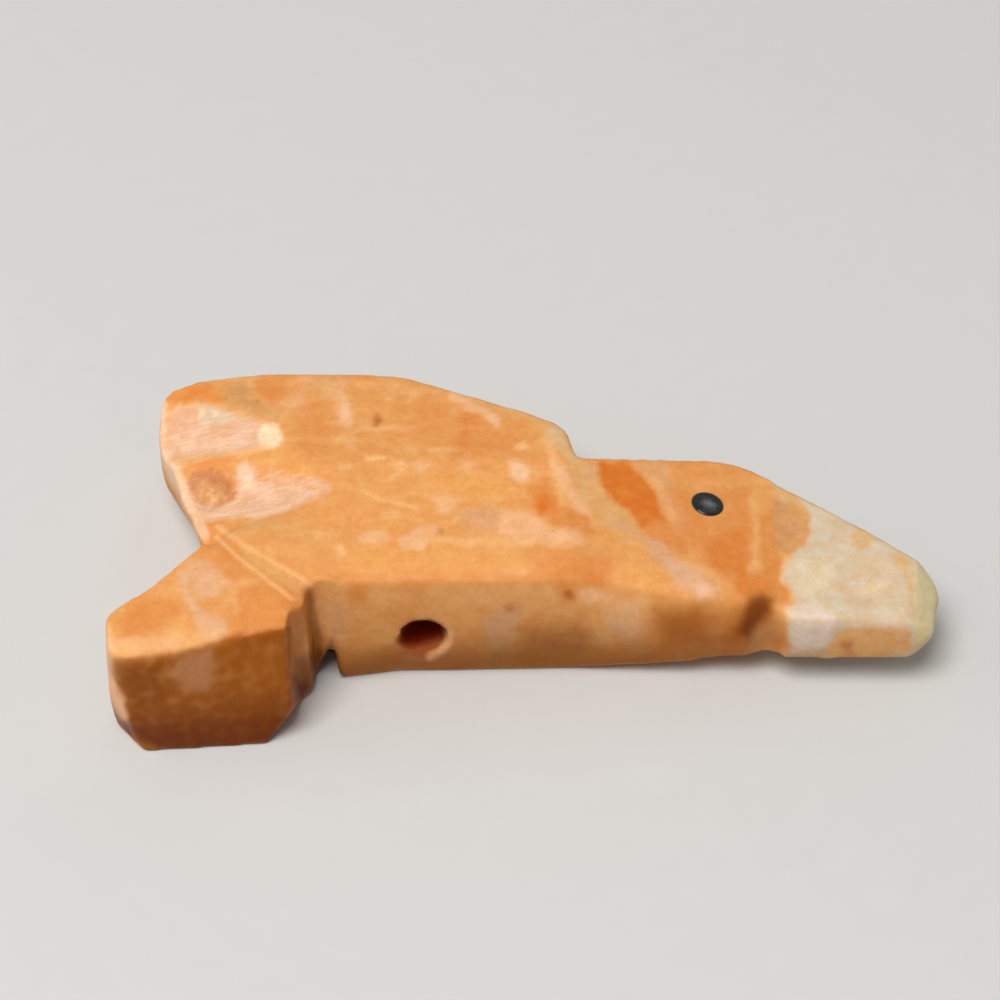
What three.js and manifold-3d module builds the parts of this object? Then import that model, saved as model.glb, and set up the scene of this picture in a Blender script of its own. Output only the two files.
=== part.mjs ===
// Carved stone bird, lying on its flat side, with a round jet eye inlaid on each side of the head.
// The beak points along +X, the wing tip and the tail lie at -X, the belly faces -Y and +Z is up.
import * as THREE from 'three';
import { mergeVertices } from 'three/addons/utils/BufferGeometryUtils.js';
import { ConvexGeometry } from 'three/addons/geometries/ConvexGeometry.js';
import Module from 'manifold-3d';

const wasm = await Module();
wasm.setup();

// Driving sizes in millimetres
const LENGTH = 25.4; // tail to tip of beak
const THICKNESS = 4.33; // between the two flat sides
const BEAK_ROOT_THICKNESS = 1.9; // where the head runs into the beak
const BEAK_THICKNESS = 1.66; // at the blunt end
const BEAK_EDGE_THICKNESS = 0.2; // where the two end bevels meet
const WING_TIP_THICKNESS = 2.3; // across the ridge between the flutes
const WING_BACK_THICKNESS = 3.1; // along the upper edge of the wing
const HOLE_DIAMETER = 1.45; // stringing hole, belly to back
const HOLE_RIM_DIAMETER = 1.7; // worn funnel at its mouth on the belly
const HOLE_RIM_DEPTH = 0.25;
const HOLE_DROP = 0.3; // below the mid-plane
const EYE_DIAMETER = 1.03;
const EYE_DEPTH = 0.5; // inlay below the face of the head
const EYE_RISE = 0.05; // crown of the inlay above the face
const GLUE_LINE = 0.02; // gap all round an inlay
const FLUTE_DEPTH = 0.3; // below the face of the wing, at its tip
const UPPER_FLUTE_WIDTH = 2.2;
const LOWER_FLUTE_WIDTH = 2.3;
const SAW_CUT_DEPTH = 0.06; // shallow cut across the root of the tail
const THROAT_DEPTH = 0.3; // notch that parts throat and beak
const THROAT_WIDTH = 1.15;
const BELLY_LEAN = 9; // degrees that each half of the belly face leans back from its keel

const HALF = THICKNESS / 2;
const REACH = 2 * LENGTH; // size of a cutter that passes right through
const LID = HALF + 1; // height clear of the upper side, and of the lower side when negative
const SMALL_ROUND = 40; // facets round a hole or an inlay
const BROAD_ROUND = 96; // facets round a broad groove
const SIDES = [1, -1]; // upper and lower side of the mid-plane

// A place on the side view, in hundredths of the length
const plan = (u, v) => new THREE.Vector2(u, v).multiplyScalar(LENGTH / 100);

// The same place at a height above the mid-plane, in millimetres
function spot(u, v, height) {
  const place = plan(u, v);
  return new THREE.Vector3(place.x, place.y, height);
}

// A closed geometry as a solid that can be cut
function solidOf(geometry) {
  const bare = geometry.clone();
  bare.deleteAttribute('normal');
  bare.deleteAttribute('uv');
  const merged = mergeVertices(bare);
  const corners = new Float32Array(merged.attributes.position.array);
  const triangles = new Uint32Array(merged.index.array);
  return new wasm.Manifold(new wasm.Mesh({ numProp: 3, vertProperties: corners, triVerts: triangles }));
}

// A straight-sided block over an outline on the side view, right through the stone
function block(outline) {
  const shape = new THREE.Shape(outline.map(([u, v]) => plan(u, v)));
  const geometry = new THREE.ExtrudeGeometry(shape, { depth: REACH, bevelEnabled: false });
  geometry.translate(0, 0, -REACH / 2);
  return solidOf(geometry);
}

// The convex chip between some corners
const chip = (corners) => solidOf(new ConvexGeometry(corners));

// A face of the carving: the plane through three of its points, looking out of the stone
function face(points, outward) {
  const plane = new THREE.Plane().setFromCoplanarPoints(...points);
  return plane.normal.dot(outward) < 0 ? plane.negate() : plane;
}

// The same, for a face that is carved alike above and below the mid-plane
function sideFace(points, side) {
  const mirrored = points.map((p) => new THREE.Vector3(p.x, p.y, p.z * side));
  return face(mirrored, new THREE.Vector3(0, 0, side));
}

// Everything beyond a face
function outside(plane) {
  const geometry = new THREE.BoxGeometry(REACH, REACH, REACH);
  geometry.translate(0, 0, REACH / 2);
  const turn = new THREE.Quaternion().setFromUnitVectors(new THREE.Vector3(0, 0, 1), plane.normal);
  geometry.applyQuaternion(turn);
  const foot = plane.coplanarPoint(new THREE.Vector3());
  geometry.translate(foot.x, foot.y, foot.z);
  return solidOf(geometry);
}

// Height of a face over a place on the side view
const heightOn = (plane, place) =>
  -(plane.normal.x * place.x + plane.normal.y * place.y + plane.constant) / plane.normal.z;

// A round bar of endless length through two points
function bar(from, to, radius, facets) {
  const geometry = new THREE.CylinderGeometry(radius, radius, REACH, facets);
  const along = to.clone().sub(from).normalize();
  geometry.applyQuaternion(new THREE.Quaternion().setFromUnitVectors(new THREE.Vector3(0, 1, 0), along));
  geometry.translate(from.x, from.y, from.z);
  return solidOf(geometry);
}

// Radius of a round cut that is so wide and so deep
const cutRadius = (width, depth) => (width * width / 4 + depth * depth) / (2 * depth);

// Side view of the whole bird: notch under the wing, tail, belly, beak, crown, back, wing tip
function sideOutline() {
  const outline = new THREE.Path();
  const curve = (places) => outline.splineThru(places.map(([u, v]) => new THREE.Vector2(u, v)));
  outline.moveTo(-35.1, -14.5);
  curve([[-41.1, -22], [-44.4, -25]]);
  outline.quadraticCurveTo(-46.1, -26.3, -46.4, -28);
  outline.lineTo(-46.45, -31);
  outline.lineTo(-44.3, -33.9);
  outline.lineTo(-23.9, -32.4);
  outline.lineTo(-22.1, -22.9);
  outline.lineTo(-21, -22.6);
  outline.lineTo(7.8, -22);
  outline.lineTo(30, -22.7);
  outline.lineTo(34.9, -23.3);
  outline.lineTo(49.4, -23.6);
  outline.lineTo(52.6, -23.3);
  outline.lineTo(53.5, -17.4);
  outline.quadraticCurveTo(53.7, -15.2, 52.2, -14);
  curve([[49.5, -11.9], [44.9, -8.0], [40.2, -4.7], [35.4, -1.3]]);
  outline.quadraticCurveTo(31.6, 2.1, 27, 2.1);
  outline.lineTo(9.5, -0.4);
  outline.lineTo(8.4, 4.6);
  outline.quadraticCurveTo(7.8, 6.4, 2.5, 9.1);
  curve([[-7.7, 14.1], [-13, 16.3], [-21, 16.8], [-31, 16.7], [-41.6, 14.7]]);
  outline.quadraticCurveTo(-43.8, 14, -43.6, 9);
  outline.quadraticCurveTo(-43.2, 4.8, -41.1, 1.6);
  outline.lineTo(-38.3, -7.0);
  return outline.getPoints(5).map((p) => [p.x, p.y]);
}

// Faces that thin the wing, the head and the beak, on one side of the mid-plane
function wingBackFace(side) {
  const crease = [spot(-30, -1.2, HALF), spot(5, -1.2, HALF)];
  return sideFace([...crease, spot(-30, 16.5, WING_BACK_THICKNESS / 2)], side);
}

function wingTipFace(side) {
  const edge = WING_TIP_THICKNESS / 2;
  return sideFace([spot(-43.5, 8.4, edge), spot(-38.3, -7, edge), spot(-26, 5, HALF)], side);
}

function headFace(side) {
  return sideFace([spot(8, -10, HALF), spot(8, -20, HALF), spot(35, -10, BEAK_ROOT_THICKNESS / 2)], side);
}

function beakFace(side) {
  const root = BEAK_ROOT_THICKNESS / 2;
  return sideFace([spot(35, -10, root), spot(35, -20, root), spot(50, -17.5, BEAK_THICKNESS / 2)], side);
}

function beakEndFace(side) {
  const ridge = [spot(50.4, -17.4, BEAK_THICKNESS / 2), spot(49.5, -23.6, BEAK_THICKNESS / 2)];
  return sideFace([...ridge, spot(53.5, -17.6, BEAK_EDGE_THICKNESS / 2)], side);
}

// The tip of the wing is thinned beside the tail, which keeps its full thickness
const rootOfWing = [[-10, 30], [-23.5, -9], [-33.3, -11.9], [-35.1, -14.5]];
const tipRegion = [[-60, 30], ...rootOfWing, [-37, -17], [-60, -17]];

// Two broad grooves ground into the wing from its tip, running out towards the body
function flute(tip, end, width, side) {
  const tipHeight = heightOn(wingTipFace(1), plan(...tip)) - FLUTE_DEPTH;
  const endHeight = Math.min(HALF, heightOn(wingBackFace(1), plan(...end)));
  const radius = cutRadius(width, FLUTE_DEPTH);
  const from = spot(...tip, side * (tipHeight + radius));
  const to = spot(...end, side * (endHeight + radius));
  return bar(from, to, radius, BROAD_ROUND);
}

// The belly face has a keel at the mid-plane; each half leans back from it, between two places along it
function bellyHalf(from, to, side) {
  const drop = Math.tan(THREE.MathUtils.degToRad(BELLY_LEAN)) * HALF;
  const keel = [spot(...from, 0), spot(...to, 0)];
  const edge = keel[0].clone().add(new THREE.Vector3(0, drop, side * HALF));
  const strip = block([[from[0], -40], [to[0], -40], [to[0], -15], [from[0], -15]]);
  return outside(face([...keel, edge], new THREE.Vector3(0, -1, 0))).intersect(strip);
}

// Body side of the root of the tail, leaning out a little towards its lower edge
function besideRoot() {
  const root = [spot(-23.1, -25.2, HALF), spot(-22.9, -22.2, HALF), spot(-22.7, -23.5, -HALF)];
  return outside(face(root, new THREE.Vector3(1, 0, 0)));
}

// The tail is set back beside its root, and a narrow face closes the step
function besideTail() {
  const corner = spot(-24.8, -26.2, HALF);
  const front = face([corner, spot(-25, -28.9, HALF), spot(-24.2, -27, -HALF)], new THREE.Vector3(1, 0, 0));
  const step = face([corner, spot(-23.1, -25.2, HALF), spot(-24.8, -26.4, -HALF)], new THREE.Vector3(0, -1, 0));
  return outside(front).intersect(outside(step));
}

// Beside the tail the lower half of the belly keeps its breadth, and leans back only as it runs forward
function bellyRunOut() {
  const outward = new THREE.Vector3(0, -1, 0);
  const slope = face([spot(-12.3, -22.5, 0), spot(-12.3, -21, -HALF), spot(-19.7, -22.2, -HALF)], outward);
  const strip = block([[-30, -40], [-12.3, -40], [-12.3, -15], [-30, -15]]);
  return outside(slope).intersect(strip);
}

// The cheek: a bevel along the throat on the upper side, starting at the breast
function cheek() {
  const upward = new THREE.Vector3(0, 0, 1);
  const lowest = spot(11.8, -21.6, 0.39 * HALF);
  const highest = spot(11.8, -19.2, 0.9 * HALF);
  const along = face([lowest, highest, spot(29, -22.1, 0.35 * HALF)], upward);
  const start = face([lowest, highest, spot(4.5, -20.9, HALF)], upward);
  const strip = block([[0, -40], [31.9, -40], [31.9, -12], [0, -12]]);
  return outside(along).intersect(outside(start)).intersect(strip);
}

// The notch between throat and beak
function throat() {
  const radius = cutRadius(THROAT_WIDTH, THROAT_DEPTH);
  const centre = plan(31.9, -22.8);
  const axis = new THREE.Vector3(centre.x, centre.y + THROAT_DEPTH - radius, 0);
  return bar(axis, axis.clone().setZ(1), radius, SMALL_ROUND);
}

// The end face of the tail twists towards the body, in two flats from its far upper corner
function tailEnd() {
  const outward = new THREE.Vector3(0, -1, 0);
  const corner = spot(-44.3, -33.9, HALF);
  const upper = face([corner, spot(-24.9, -29, HALF), spot(-24.5, -32.2, -0.45 * HALF)], outward);
  const middle = face([corner, spot(-24.6, -31.2, 0), spot(-29, -32.75, -0.85 * HALF)], outward);
  const strip = block([[-60, -50], [-20, -50], [-20, -25.5], [-60, -25.5]]);
  return outside(upper).add(outside(middle)).intersect(strip);
}

// The far side of the tail leans in, and its lower corner is taken off
function tailFarSide() {
  const leaning = [spot(-46, -30.9, HALF), spot(-46.2, -27.8, HALF), spot(-46.6, -30, 0)];
  const corner = [spot(-42.6, -33.8, -HALF), spot(-46.2, -29.8, -HALF), spot(-46.6, -31.4, -0.1 * HALF)];
  const upper = outside(face(leaning, new THREE.Vector3(0, 0, 1)));
  const lower = outside(face(corner, new THREE.Vector3(0, 0, -1)));
  return upper.add(lower).intersect(block([[-60, -50], [-38, -50], [-38, -20], [-60, -20]]));
}

// The near side of the tail has its lower corner taken off, and meets the belly in a blunt V
function tailNearSide() {
  const corner = [spot(-28, -32.4, -HALF), spot(-24.1, -25.5, -HALF), spot(-24.4, -31.7, -0.3 * HALF)];
  const lower = outside(face(corner, new THREE.Vector3(0, 0, -1)));
  const cornerStrip = block([[-30, -50], [-21.5, -50], [-21.5, -22.9], [-30, -22.9]]);
  const bluntV = [[-15, -22.8], [-21, -22.7], [-23.1, -21.2], [-30, -21.2]];
  const root = besideRoot().intersect(block([[-30, -50], [-15, -50], ...bluntV]));
  return lower.intersect(cornerStrip).add(root).add(besideTail().intersect(cornerStrip));
}

// A shallow saw cut crosses the root of the tail on the upper side
function upperRootCut() {
  const across = [[-35.5, -11.3], [-20.5, -24.2], [-22.9, -26.6], [-36, -12.3]];
  const floor = HALF - SAW_CUT_DEPTH;
  return chip(across.flatMap(([u, v]) => [spot(u, v, floor), spot(u, v, LID)]));
}

// A deep V cut parts tail and body on the lower side: straight in from the belly, then to the notch under the wing
function lowerRootCut() {
  const cutAt = (apex, left, right) => [apex, left, right].map(([u, v, height]) => spot(u, v, height));
  const atBelly = cutAt([-20.1, -23.8, -0.07 * HALF], [-23.5, -23.8, -LID], [-19.2, -23.8, -LID]);
  const within = cutAt([-20.6, -18.2, -0.25 * HALF], [-24, -18.6, -LID], [-19.8, -18.2, -LID]);
  const atNotch = cutAt([-39.3, -15.4, -0.89 * HALF], [-40.6, -15.6, -LID], [-38.4, -15.4, -LID]);
  return chip([...atBelly, ...within]).add(chip([...within, ...atNotch]));
}

// The end face of the wing tip is cut back towards its lower edge, beside the tail
function tipUndercut() {
  const outward = new THREE.Vector3(-1, 0, 0);
  const edge = WING_TIP_THICKNESS / 2;
  const corner = spot(-38.2, -7.4, edge);
  const along = face([corner, spot(-41.1, 1, edge), spot(-38.6, -1.1, -edge)], outward);
  const fading = face([corner, spot(-38.2, -2.3, -edge), spot(-42.9, 6.5, -edge)], outward);
  return outside(along).intersect(outside(fading)).intersect(block(tipRegion));
}

// The stringing hole runs from the belly out through the back, funnelled at its mouth on the belly
function stringingHole() {
  const mouth = spot(-9.3, -22.3, -HOLE_DROP);
  const radius = HOLE_DIAMETER / 2;
  const rim = HOLE_RIM_DIAMETER / 2;
  const bore = bar(mouth, mouth.clone().add(new THREE.Vector3(0, 1, 0)), radius, SMALL_ROUND);
  const funnel = new THREE.CylinderGeometry(radius, rim, HOLE_RIM_DEPTH, SMALL_ROUND);
  funnel.translate(mouth.x, mouth.y + HOLE_RIM_DEPTH / 2, mouth.z);
  return bore.add(solidOf(funnel));
}

// Seat of an eye on the face of the head
const eyePlace = plan(25.6, -5.9);
function eyeSeat(side) {
  const plane = headFace(side);
  const centre = new THREE.Vector3(eyePlace.x, eyePlace.y, heightOn(plane, eyePlace));
  return { centre, outward: plane.normal };
}

// The drilled socket holds its inlay with a glue line all round
function eyeSocket(side) {
  const { centre, outward } = eyeSeat(side);
  const radius = EYE_DIAMETER / 2 + GLUE_LINE;
  const depth = EYE_DEPTH + GLUE_LINE;
  const geometry = new THREE.CylinderGeometry(radius, radius, 2 * depth, SMALL_ROUND);
  geometry.applyQuaternion(new THREE.Quaternion().setFromUnitVectors(new THREE.Vector3(0, 1, 0), outward));
  geometry.translate(centre.x, centre.y, centre.z);
  return solidOf(geometry);
}

function carveStone() {
  const slab = new THREE.BoxGeometry(REACH, REACH, THICKNESS);
  let stone = block(sideOutline()).intersect(solidOf(slab));
  const bellyByTail = bellyHalf([-30, -22.7], [-12.3, -22.4], 1).add(bellyRunOut()).intersect(besideRoot());
  const cuts = [bellyByTail, tailEnd(), tailFarSide(), tailNearSide(), upperRootCut(), lowerRootCut()];
  cuts.push(tipUndercut(), cheek(), throat(), stringingHole());
  for (const side of SIDES) {
    cuts.push(outside(wingBackFace(side)));
    cuts.push(outside(wingTipFace(side)).intersect(block(tipRegion)));
    cuts.push(outside(headFace(side)).intersect(outside(beakFace(side))));
    cuts.push(outside(beakEndFace(side)));
    cuts.push(flute([-40, 5.6], [-28.3, 4.4], UPPER_FLUTE_WIDTH, side));
    cuts.push(flute([-37.2, -4.6], [-22.3, -6.9], LOWER_FLUTE_WIDTH, side));
    cuts.push(bellyHalf([-12.3, -22.4], [7.8, -22], side));
    cuts.push(bellyHalf([7.8, -22], [31.9, -22.8], side));
    cuts.push(eyeSocket(side));
  }
  for (const cut of cuts) stone = stone.subtract(cut);
  return stone;
}

// A solid back as a geometry with flat faces
function geometryOf(solid) {
  const mesh = solid.getMesh();
  const geometry = new THREE.BufferGeometry();
  geometry.setAttribute('position', new THREE.BufferAttribute(new Float32Array(mesh.vertProperties), 3));
  geometry.setIndex(new THREE.BufferAttribute(new Uint32Array(mesh.triVerts), 1));
  return geometry;
}

// An inlay: a short peg with a low crown
function eyeGeometry() {
  const radius = EYE_DIAMETER / 2;
  const crown = cutRadius(EYE_DIAMETER, EYE_RISE);
  const profile = [new THREE.Vector2(0, -EYE_DEPTH), new THREE.Vector2(radius, -EYE_DEPTH)];
  const steps = 5;
  for (let step = 0; step < steps; step += 1) {
    const reach = radius * (1 - step / steps);
    profile.push(new THREE.Vector2(reach, EYE_RISE - crown + Math.sqrt(crown * crown - reach * reach)));
  }
  profile.push(new THREE.Vector2(0, EYE_RISE));
  return new THREE.LatheGeometry(profile, SMALL_ROUND);
}

const stoneMaterial = new THREE.MeshStandardMaterial({ color: 0xe2a566, roughness: 0.35, metalness: 0 });
const jetMaterial = new THREE.MeshStandardMaterial({ color: 0x101012, roughness: 0.15, metalness: 0 });

const bird = new THREE.Group();
const stoneMesh = new THREE.Mesh(geometryOf(carveStone()), stoneMaterial);
stoneMesh.name = 'stone_bird';
bird.add(stoneMesh);
for (const side of SIDES) {
  const { centre, outward } = eyeSeat(side);
  const eye = new THREE.Mesh(eyeGeometry(), jetMaterial);
  eye.name = side > 0 ? 'eye_upper' : 'eye_lower';
  eye.position.copy(centre);
  eye.quaternion.setFromUnitVectors(new THREE.Vector3(0, 1, 0), outward);
  bird.add(eye);
}

// Origin under the middle of the bird, on the surface that it lies on
const extent = new THREE.Box3().setFromObject(stoneMesh);
const middle = extent.getCenter(new THREE.Vector3());
bird.position.set(-middle.x, -middle.y, -extent.min.z);

export default bird;
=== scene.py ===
import math

import bmesh
import bpy
import numpy as np
from bpy.props import FloatProperty, FloatVectorProperty, PointerProperty
from mathutils import Matrix, Vector, noise


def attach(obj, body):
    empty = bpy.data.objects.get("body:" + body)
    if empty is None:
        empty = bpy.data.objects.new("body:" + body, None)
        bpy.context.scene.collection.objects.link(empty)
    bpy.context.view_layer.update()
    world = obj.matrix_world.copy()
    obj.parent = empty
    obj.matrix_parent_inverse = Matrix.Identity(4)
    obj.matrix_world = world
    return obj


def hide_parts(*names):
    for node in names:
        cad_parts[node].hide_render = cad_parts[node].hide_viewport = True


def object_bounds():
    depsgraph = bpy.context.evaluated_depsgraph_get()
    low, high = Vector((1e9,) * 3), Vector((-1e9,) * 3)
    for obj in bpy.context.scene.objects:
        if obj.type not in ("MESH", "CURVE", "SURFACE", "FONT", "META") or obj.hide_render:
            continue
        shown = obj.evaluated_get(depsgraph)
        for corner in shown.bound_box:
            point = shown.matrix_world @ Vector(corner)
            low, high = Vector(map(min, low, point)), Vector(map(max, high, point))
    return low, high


bl_info = {
    "name": "Carved stone bird",
    "version": (1, 0, 0),
    "blender": (4, 5, 0),
    "location": "3D View > Sidebar > Stone bird",
    "description": "Finishes a small strung bird of banded stone around its packed CAD model",
    "category": "Object",
}

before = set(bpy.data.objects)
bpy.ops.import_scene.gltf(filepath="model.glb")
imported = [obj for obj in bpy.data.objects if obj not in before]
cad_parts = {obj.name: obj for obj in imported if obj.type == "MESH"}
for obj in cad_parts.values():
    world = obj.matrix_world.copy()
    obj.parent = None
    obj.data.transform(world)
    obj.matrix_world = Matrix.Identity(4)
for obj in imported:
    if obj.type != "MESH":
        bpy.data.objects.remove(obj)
CAD_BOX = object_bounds()

MM = 0.001  # metres in a millimetre: the carving is worked in millimetres
STONE_NODE = "stone_bird"
EYE_NODES = ("eye_upper", "eye_lower")

# The camera, in metres, and its picture, in pixels
CAMERA_PLACE = (-0.000897, -0.06095, 0.06752)
CAMERA_AIM = (-0.000897, 0.002158, 0.002165)
CAMERA_ANGLE = 20  # degrees across the picture
CAMERA_RANGE = (0.005, 10)  # nearest and farthest that it sees
PICTURE_WIDTH = 1000

# The stage, in metres. Each softbox has a place and a width.
KEY_BOX = ((-0.07, -0.10, 0.29), 0.16)
SIDE_BOX = ((-0.30, 0.02, 0.12), 0.20)
BACK_BOX = ((0.14, 0.27, 0.27), 0.07)
ROOM_TINT = (0.9, 0.92, 0.95, 1)
FLOOR_REACH = 1.5
FLOOR_GAP = 0.00002  # keeps the floor from lying in the stone's lower face

# The carving, in millimetres of the row frame
THICKNESS = (CAD_BOX[1].z - CAD_BOX[0].z) / MM
MIDDLE = THICKNESS / 2
JOIN_GAP = 0.001  # corners closer than this are one corner
FLAT_SKIN = 0.03  # how deep the skin of the two flat sides is, which nothing may swell past
SHARP_ANGLE = 50  # degrees, past which an edge is shaded sharp
SOFTEN_SHARE = 0.5  # how far a point goes to its neighbours' mean in one round of softening
FAINT = 0.01  # a share below this is left out

# Three places on each face that thins the wing: x, y and height above the mid-plane
WING_FACES = (
    ((-8.5, 1.85, 2.165), (0.4, 1.85, 2.165), (-8.5, 6.35, 1.55)),
    ((-11.95, 4.29, 1.15), (-10.62, 0.38, 1.15), (-7.50, 3.43, 2.165)),
)

# The upper and the lower flute: tip, end and width. A ramp says where a share begins and where it is full.
FLUTES = (((-11.06, 3.58), (-8.09, 3.28), 2.2), ((-10.35, 0.99), (-6.56, 0.41), 2.3))
FLUTE_SIDE = 0.12
FLUTE_END = (0.9, 0.3)
FLUTE_SHALLOW = (0.02, 0.09)
FLUTE_DEEP = (0.6, 0.45)
FLUTE_SLANT = (0.35, 0.7)
WHEEL_REACH = (1.5, 1.1)
WHEEL_STRETCH = (0.25, 3.2)  # of the wheel lines, along a flute and across it
WHEEL_SHIFT = 3.0  # parts the lines of the two flutes

# The broken hollow in the lower flute, and pinholes in the polish: place and radius
BREAK = ((-10.05, 1.5), (0.85, 0.8))
BREAK_FRINGE = 0.28
BREAK_RIM = (1.0, 0.55)
BREAK_SLANT = (0.3, 0.6)
BREAK_FOOT = MIDDLE + 0.5
PINHOLES = (
    ((-8.74, 4.91, 3.91), 0.10),
    ((-9.78, 5.08, 3.89), 0.07),
    ((-4.86, 3.89, 4.05), 0.11),
    ((-6.40, 2.53, 4.24), 0.07),
    ((1.17, -3.21, 3.57), 0.12),
    ((-2.60, 3.10, 0.20), 0.10),
    ((3.40, -1.20, 0.35), 0.09),
)
PINHOLE_RIM = (1.5, 0.3)  # in radii

# The mouth of the stringing hole, its chipped rim, and how crisp that rim and the root of the tail stayed
HOLE_MOUTH = (-3.26, -3.51, 1.865)
HOLE_RADIUS = 0.85
CHIP_REACH = 0.35
CHIP_DEPTH = 0.03
MOUTH_REACH = (1.5, 1.2)
HOLE_CRISP, HOLE_RING = 0.7, (1.35, 1.05)
ROOT_CRISP, LINE_REACH = 0.6, (0.9, 0.5)
TAIL_ROOT = ((-7.3, -4.6), (-6.6, -3.4))

# Edges worn rounder than the rest, as ramps on x, y and z. Along the beak the belly's lies lower.
BELLY_EDGE = ((-6.1, -5.6), (-2.2, -2.7), (2.4, 2.9))
TAIL_EDGE = ((-8.2, -9.2), (-4.9, -5.4), (2.0, 2.6))
BEAK_DROP, BEAK_ROOT = 0.8, (6.0, 7.0)

# Lines worn in the same way: two saw lines at the root of the tail, and the rim of the lower flute
SAW_LINES = (((-9.5, -1.08), (-6.78, -3.42)), ((-9.55, -1.5), (-7.12, -4.03)))
SAW_REACH, SAW_HEIGHT = (0.5, 0.3), (3.6, 4.0)
FLUTE_RIM = ((-9.3, -1.2), (-9.0, -1.0), (-7.38, -0.37), (-6.1, 0.2))
RIM_HEIGHT = (2.6, 3.0)

# How far the belly swells from flat, and its ramps on the slant to the front and on either end
BELLY_SWELL = 0.085
SWELL_SLANT, SWELL_TAIL, SWELL_HEAD = (0.6, 0.85), (-6.4, -5.8), (5.6, 4.8)

# The eyes. Each socket is plugged, so that the skin closes over it, and is then cut clean.
PLUG_OVERLAP, PLUG_DEPTH, PLUG_SIDES = 0.06, 0.7, 48
SOCKET_DEPTH, SOCKET_TOP, SOCKET_SIDES = 0.52, 0.4, 96
EYE_DEPTH, EYE_SIDES = 0.5, 72
CROWN_RINGS, CROWN_FALL = 14, 0.75
EYE_RIM, EYE_RIM_RINGS = 0.05, 5
GLUE_DROP, GLUE_FALL = 0.012, 0.004

# Noises: steps in a millimetre and seed. The seeds from BEND_SEED on bend the marks, one for each axis.
BROAD_WAVES, FINE_WAVES, WHEEL_LINES = (0.45, 1), (1.3, 2), (1.4, 3)
BREAK_EDGE, CRUMBS, FINE_CRUMBS, CHIPS = (2.2, 4), (3.4, 5), (7.0, 6), (2.6, 7)
BROAD_CLOUDS, CLOUDS, STREAKS, FINE_STREAKS, MOTTLES = (0.45, 8), (1.1, 9), (1.0, 10), (2.6, 11), (3.0, 12)
WAVE_PARTS = (0.7, 0.3)  # of the broad and the fine waves
CRUMB_PARTS = (0.75, 0.5, 0.3)  # of an even depth, the crumbs and the fine crumbs
CLOUD_PART, STREAK_PART = 0.5, 0.4  # of the finer noise beside the broader one
MOTTLE_MEAN, MOTTLE_SWING, MOTTLE_LIMITS = 0.97, 0.3, (0.75, 1.1)
BENDS = ((1.1, 3.0), (3.0, 2.0), (7.0, 1.0))  # steps in a millimetre, and pixels
BEND_SEED = 10
DEEP_BEND, DEEP_BEND_SEED, DEEP_SHIFT = 0.35, 20, 45
SEED_STEP = (7.3, 3.1, 5.7)

# The ground colour: how much each tone shows, and the ramp of its noise
ORANGE_CLOUDS = (0.5, (0.05, 0.6))
APRICOT_STREAKS = (0.5, (0.1, 0.65))
GOLD_STREAKS = (0.35, (-0.1, -0.6))
STREAK_STRETCH = (0.6, 1.9, 1.2)

# Painted shade on the sides, darker and browner towards their lower edge: what is left of the colour
# there, and at their lower edge, and how much less of it the front of the beak takes
SIDE_SHADE = 0.88
FOOT_SHADE = (0.52, 0.36, 0.05)
FOOT_HEIGHT = (MIDDLE + 0.5, 0.5)
SIDE_SLANT = (0.75, 0.35)
BEAK_LESS_SHADE, BEAK_FRONT = 0.6, (6.6, 7.4)
TURNED_AWAY = (-0.2, -0.02)

# The stone's finish: each pattern's steps in a millimetre, its ramp and how strongly it shows
MOTTLE_TONES = ((2.2, (0.95, 0.87, 0.76)), (6.0, (0.97, 0.92, 0.85)), (16.0, (0.98, 0.95, 0.92)))
MOTTLE_RAMP = (0.30, 0.70)
WHEEL_SCALE, WHEEL_DRAWN, WHEEL_MEAN = 5.0, (0.3, 2.2, 0.6), 0.46
WHEEL_LIGHT, WHEEL_DARK = (0.62, 0.25), (0.34, 0.3)
CRUMB_SCALE, STAIN_RAMP, STAIN_MOST = 3.4, (0.62, 0.42), 0.45
PORE_SCALE, PORE_RAMP, PORE_MOST = 1.7, (0.07, 0.03), 0.5
PORE_PATCH_SCALE, PORE_PATCH_RAMP = 0.8, (0.50, 0.66)
SMEAR_SCALE, SMEAR_RAMP, GLOSS, DULLING = 1.1, (0.3, 0.7), (0.36, 0.48), 0.2
GRAIN_SCALE, GRAIN_HEIGHT, WHEEL_HEIGHT, CRUMB_HEIGHT = 7.0, 0.16, 1.6, 2.5
STONE_RELIEF, JET_RELIEF = 0.02, 0.002  # millimetres
GLOW_DEPTH = 0.25  # millimetres that light goes into the stone


def tint(red, green, blue):
    """A colour as it is seen, from 0 to 255, made linear as materials need it."""
    parts = (part / 255 for part in (red, green, blue))
    return tuple(p / 12.92 if p <= 0.04045 else ((p + 0.055) / 1.055) ** 2.4 for p in parts)


def length_of(name, description, millimetres):
    """A length that a user may change."""
    return FloatProperty(
        name=name, description=description, default=millimetres * MM, min=0, precision=5,
        unit="LENGTH", subtype="DISTANCE",
    )


def colour_of(name, description, seen):
    """A colour that a user may change."""
    return FloatVectorProperty(
        name=name, description=description, default=tint(*seen), min=0, max=1, size=3, subtype="COLOR"
    )


def power_of(name, description, watts):
    """The power of a light, which a user may change."""
    return FloatProperty(name=name, description=description, default=watts, min=0, unit="POWER")


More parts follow.
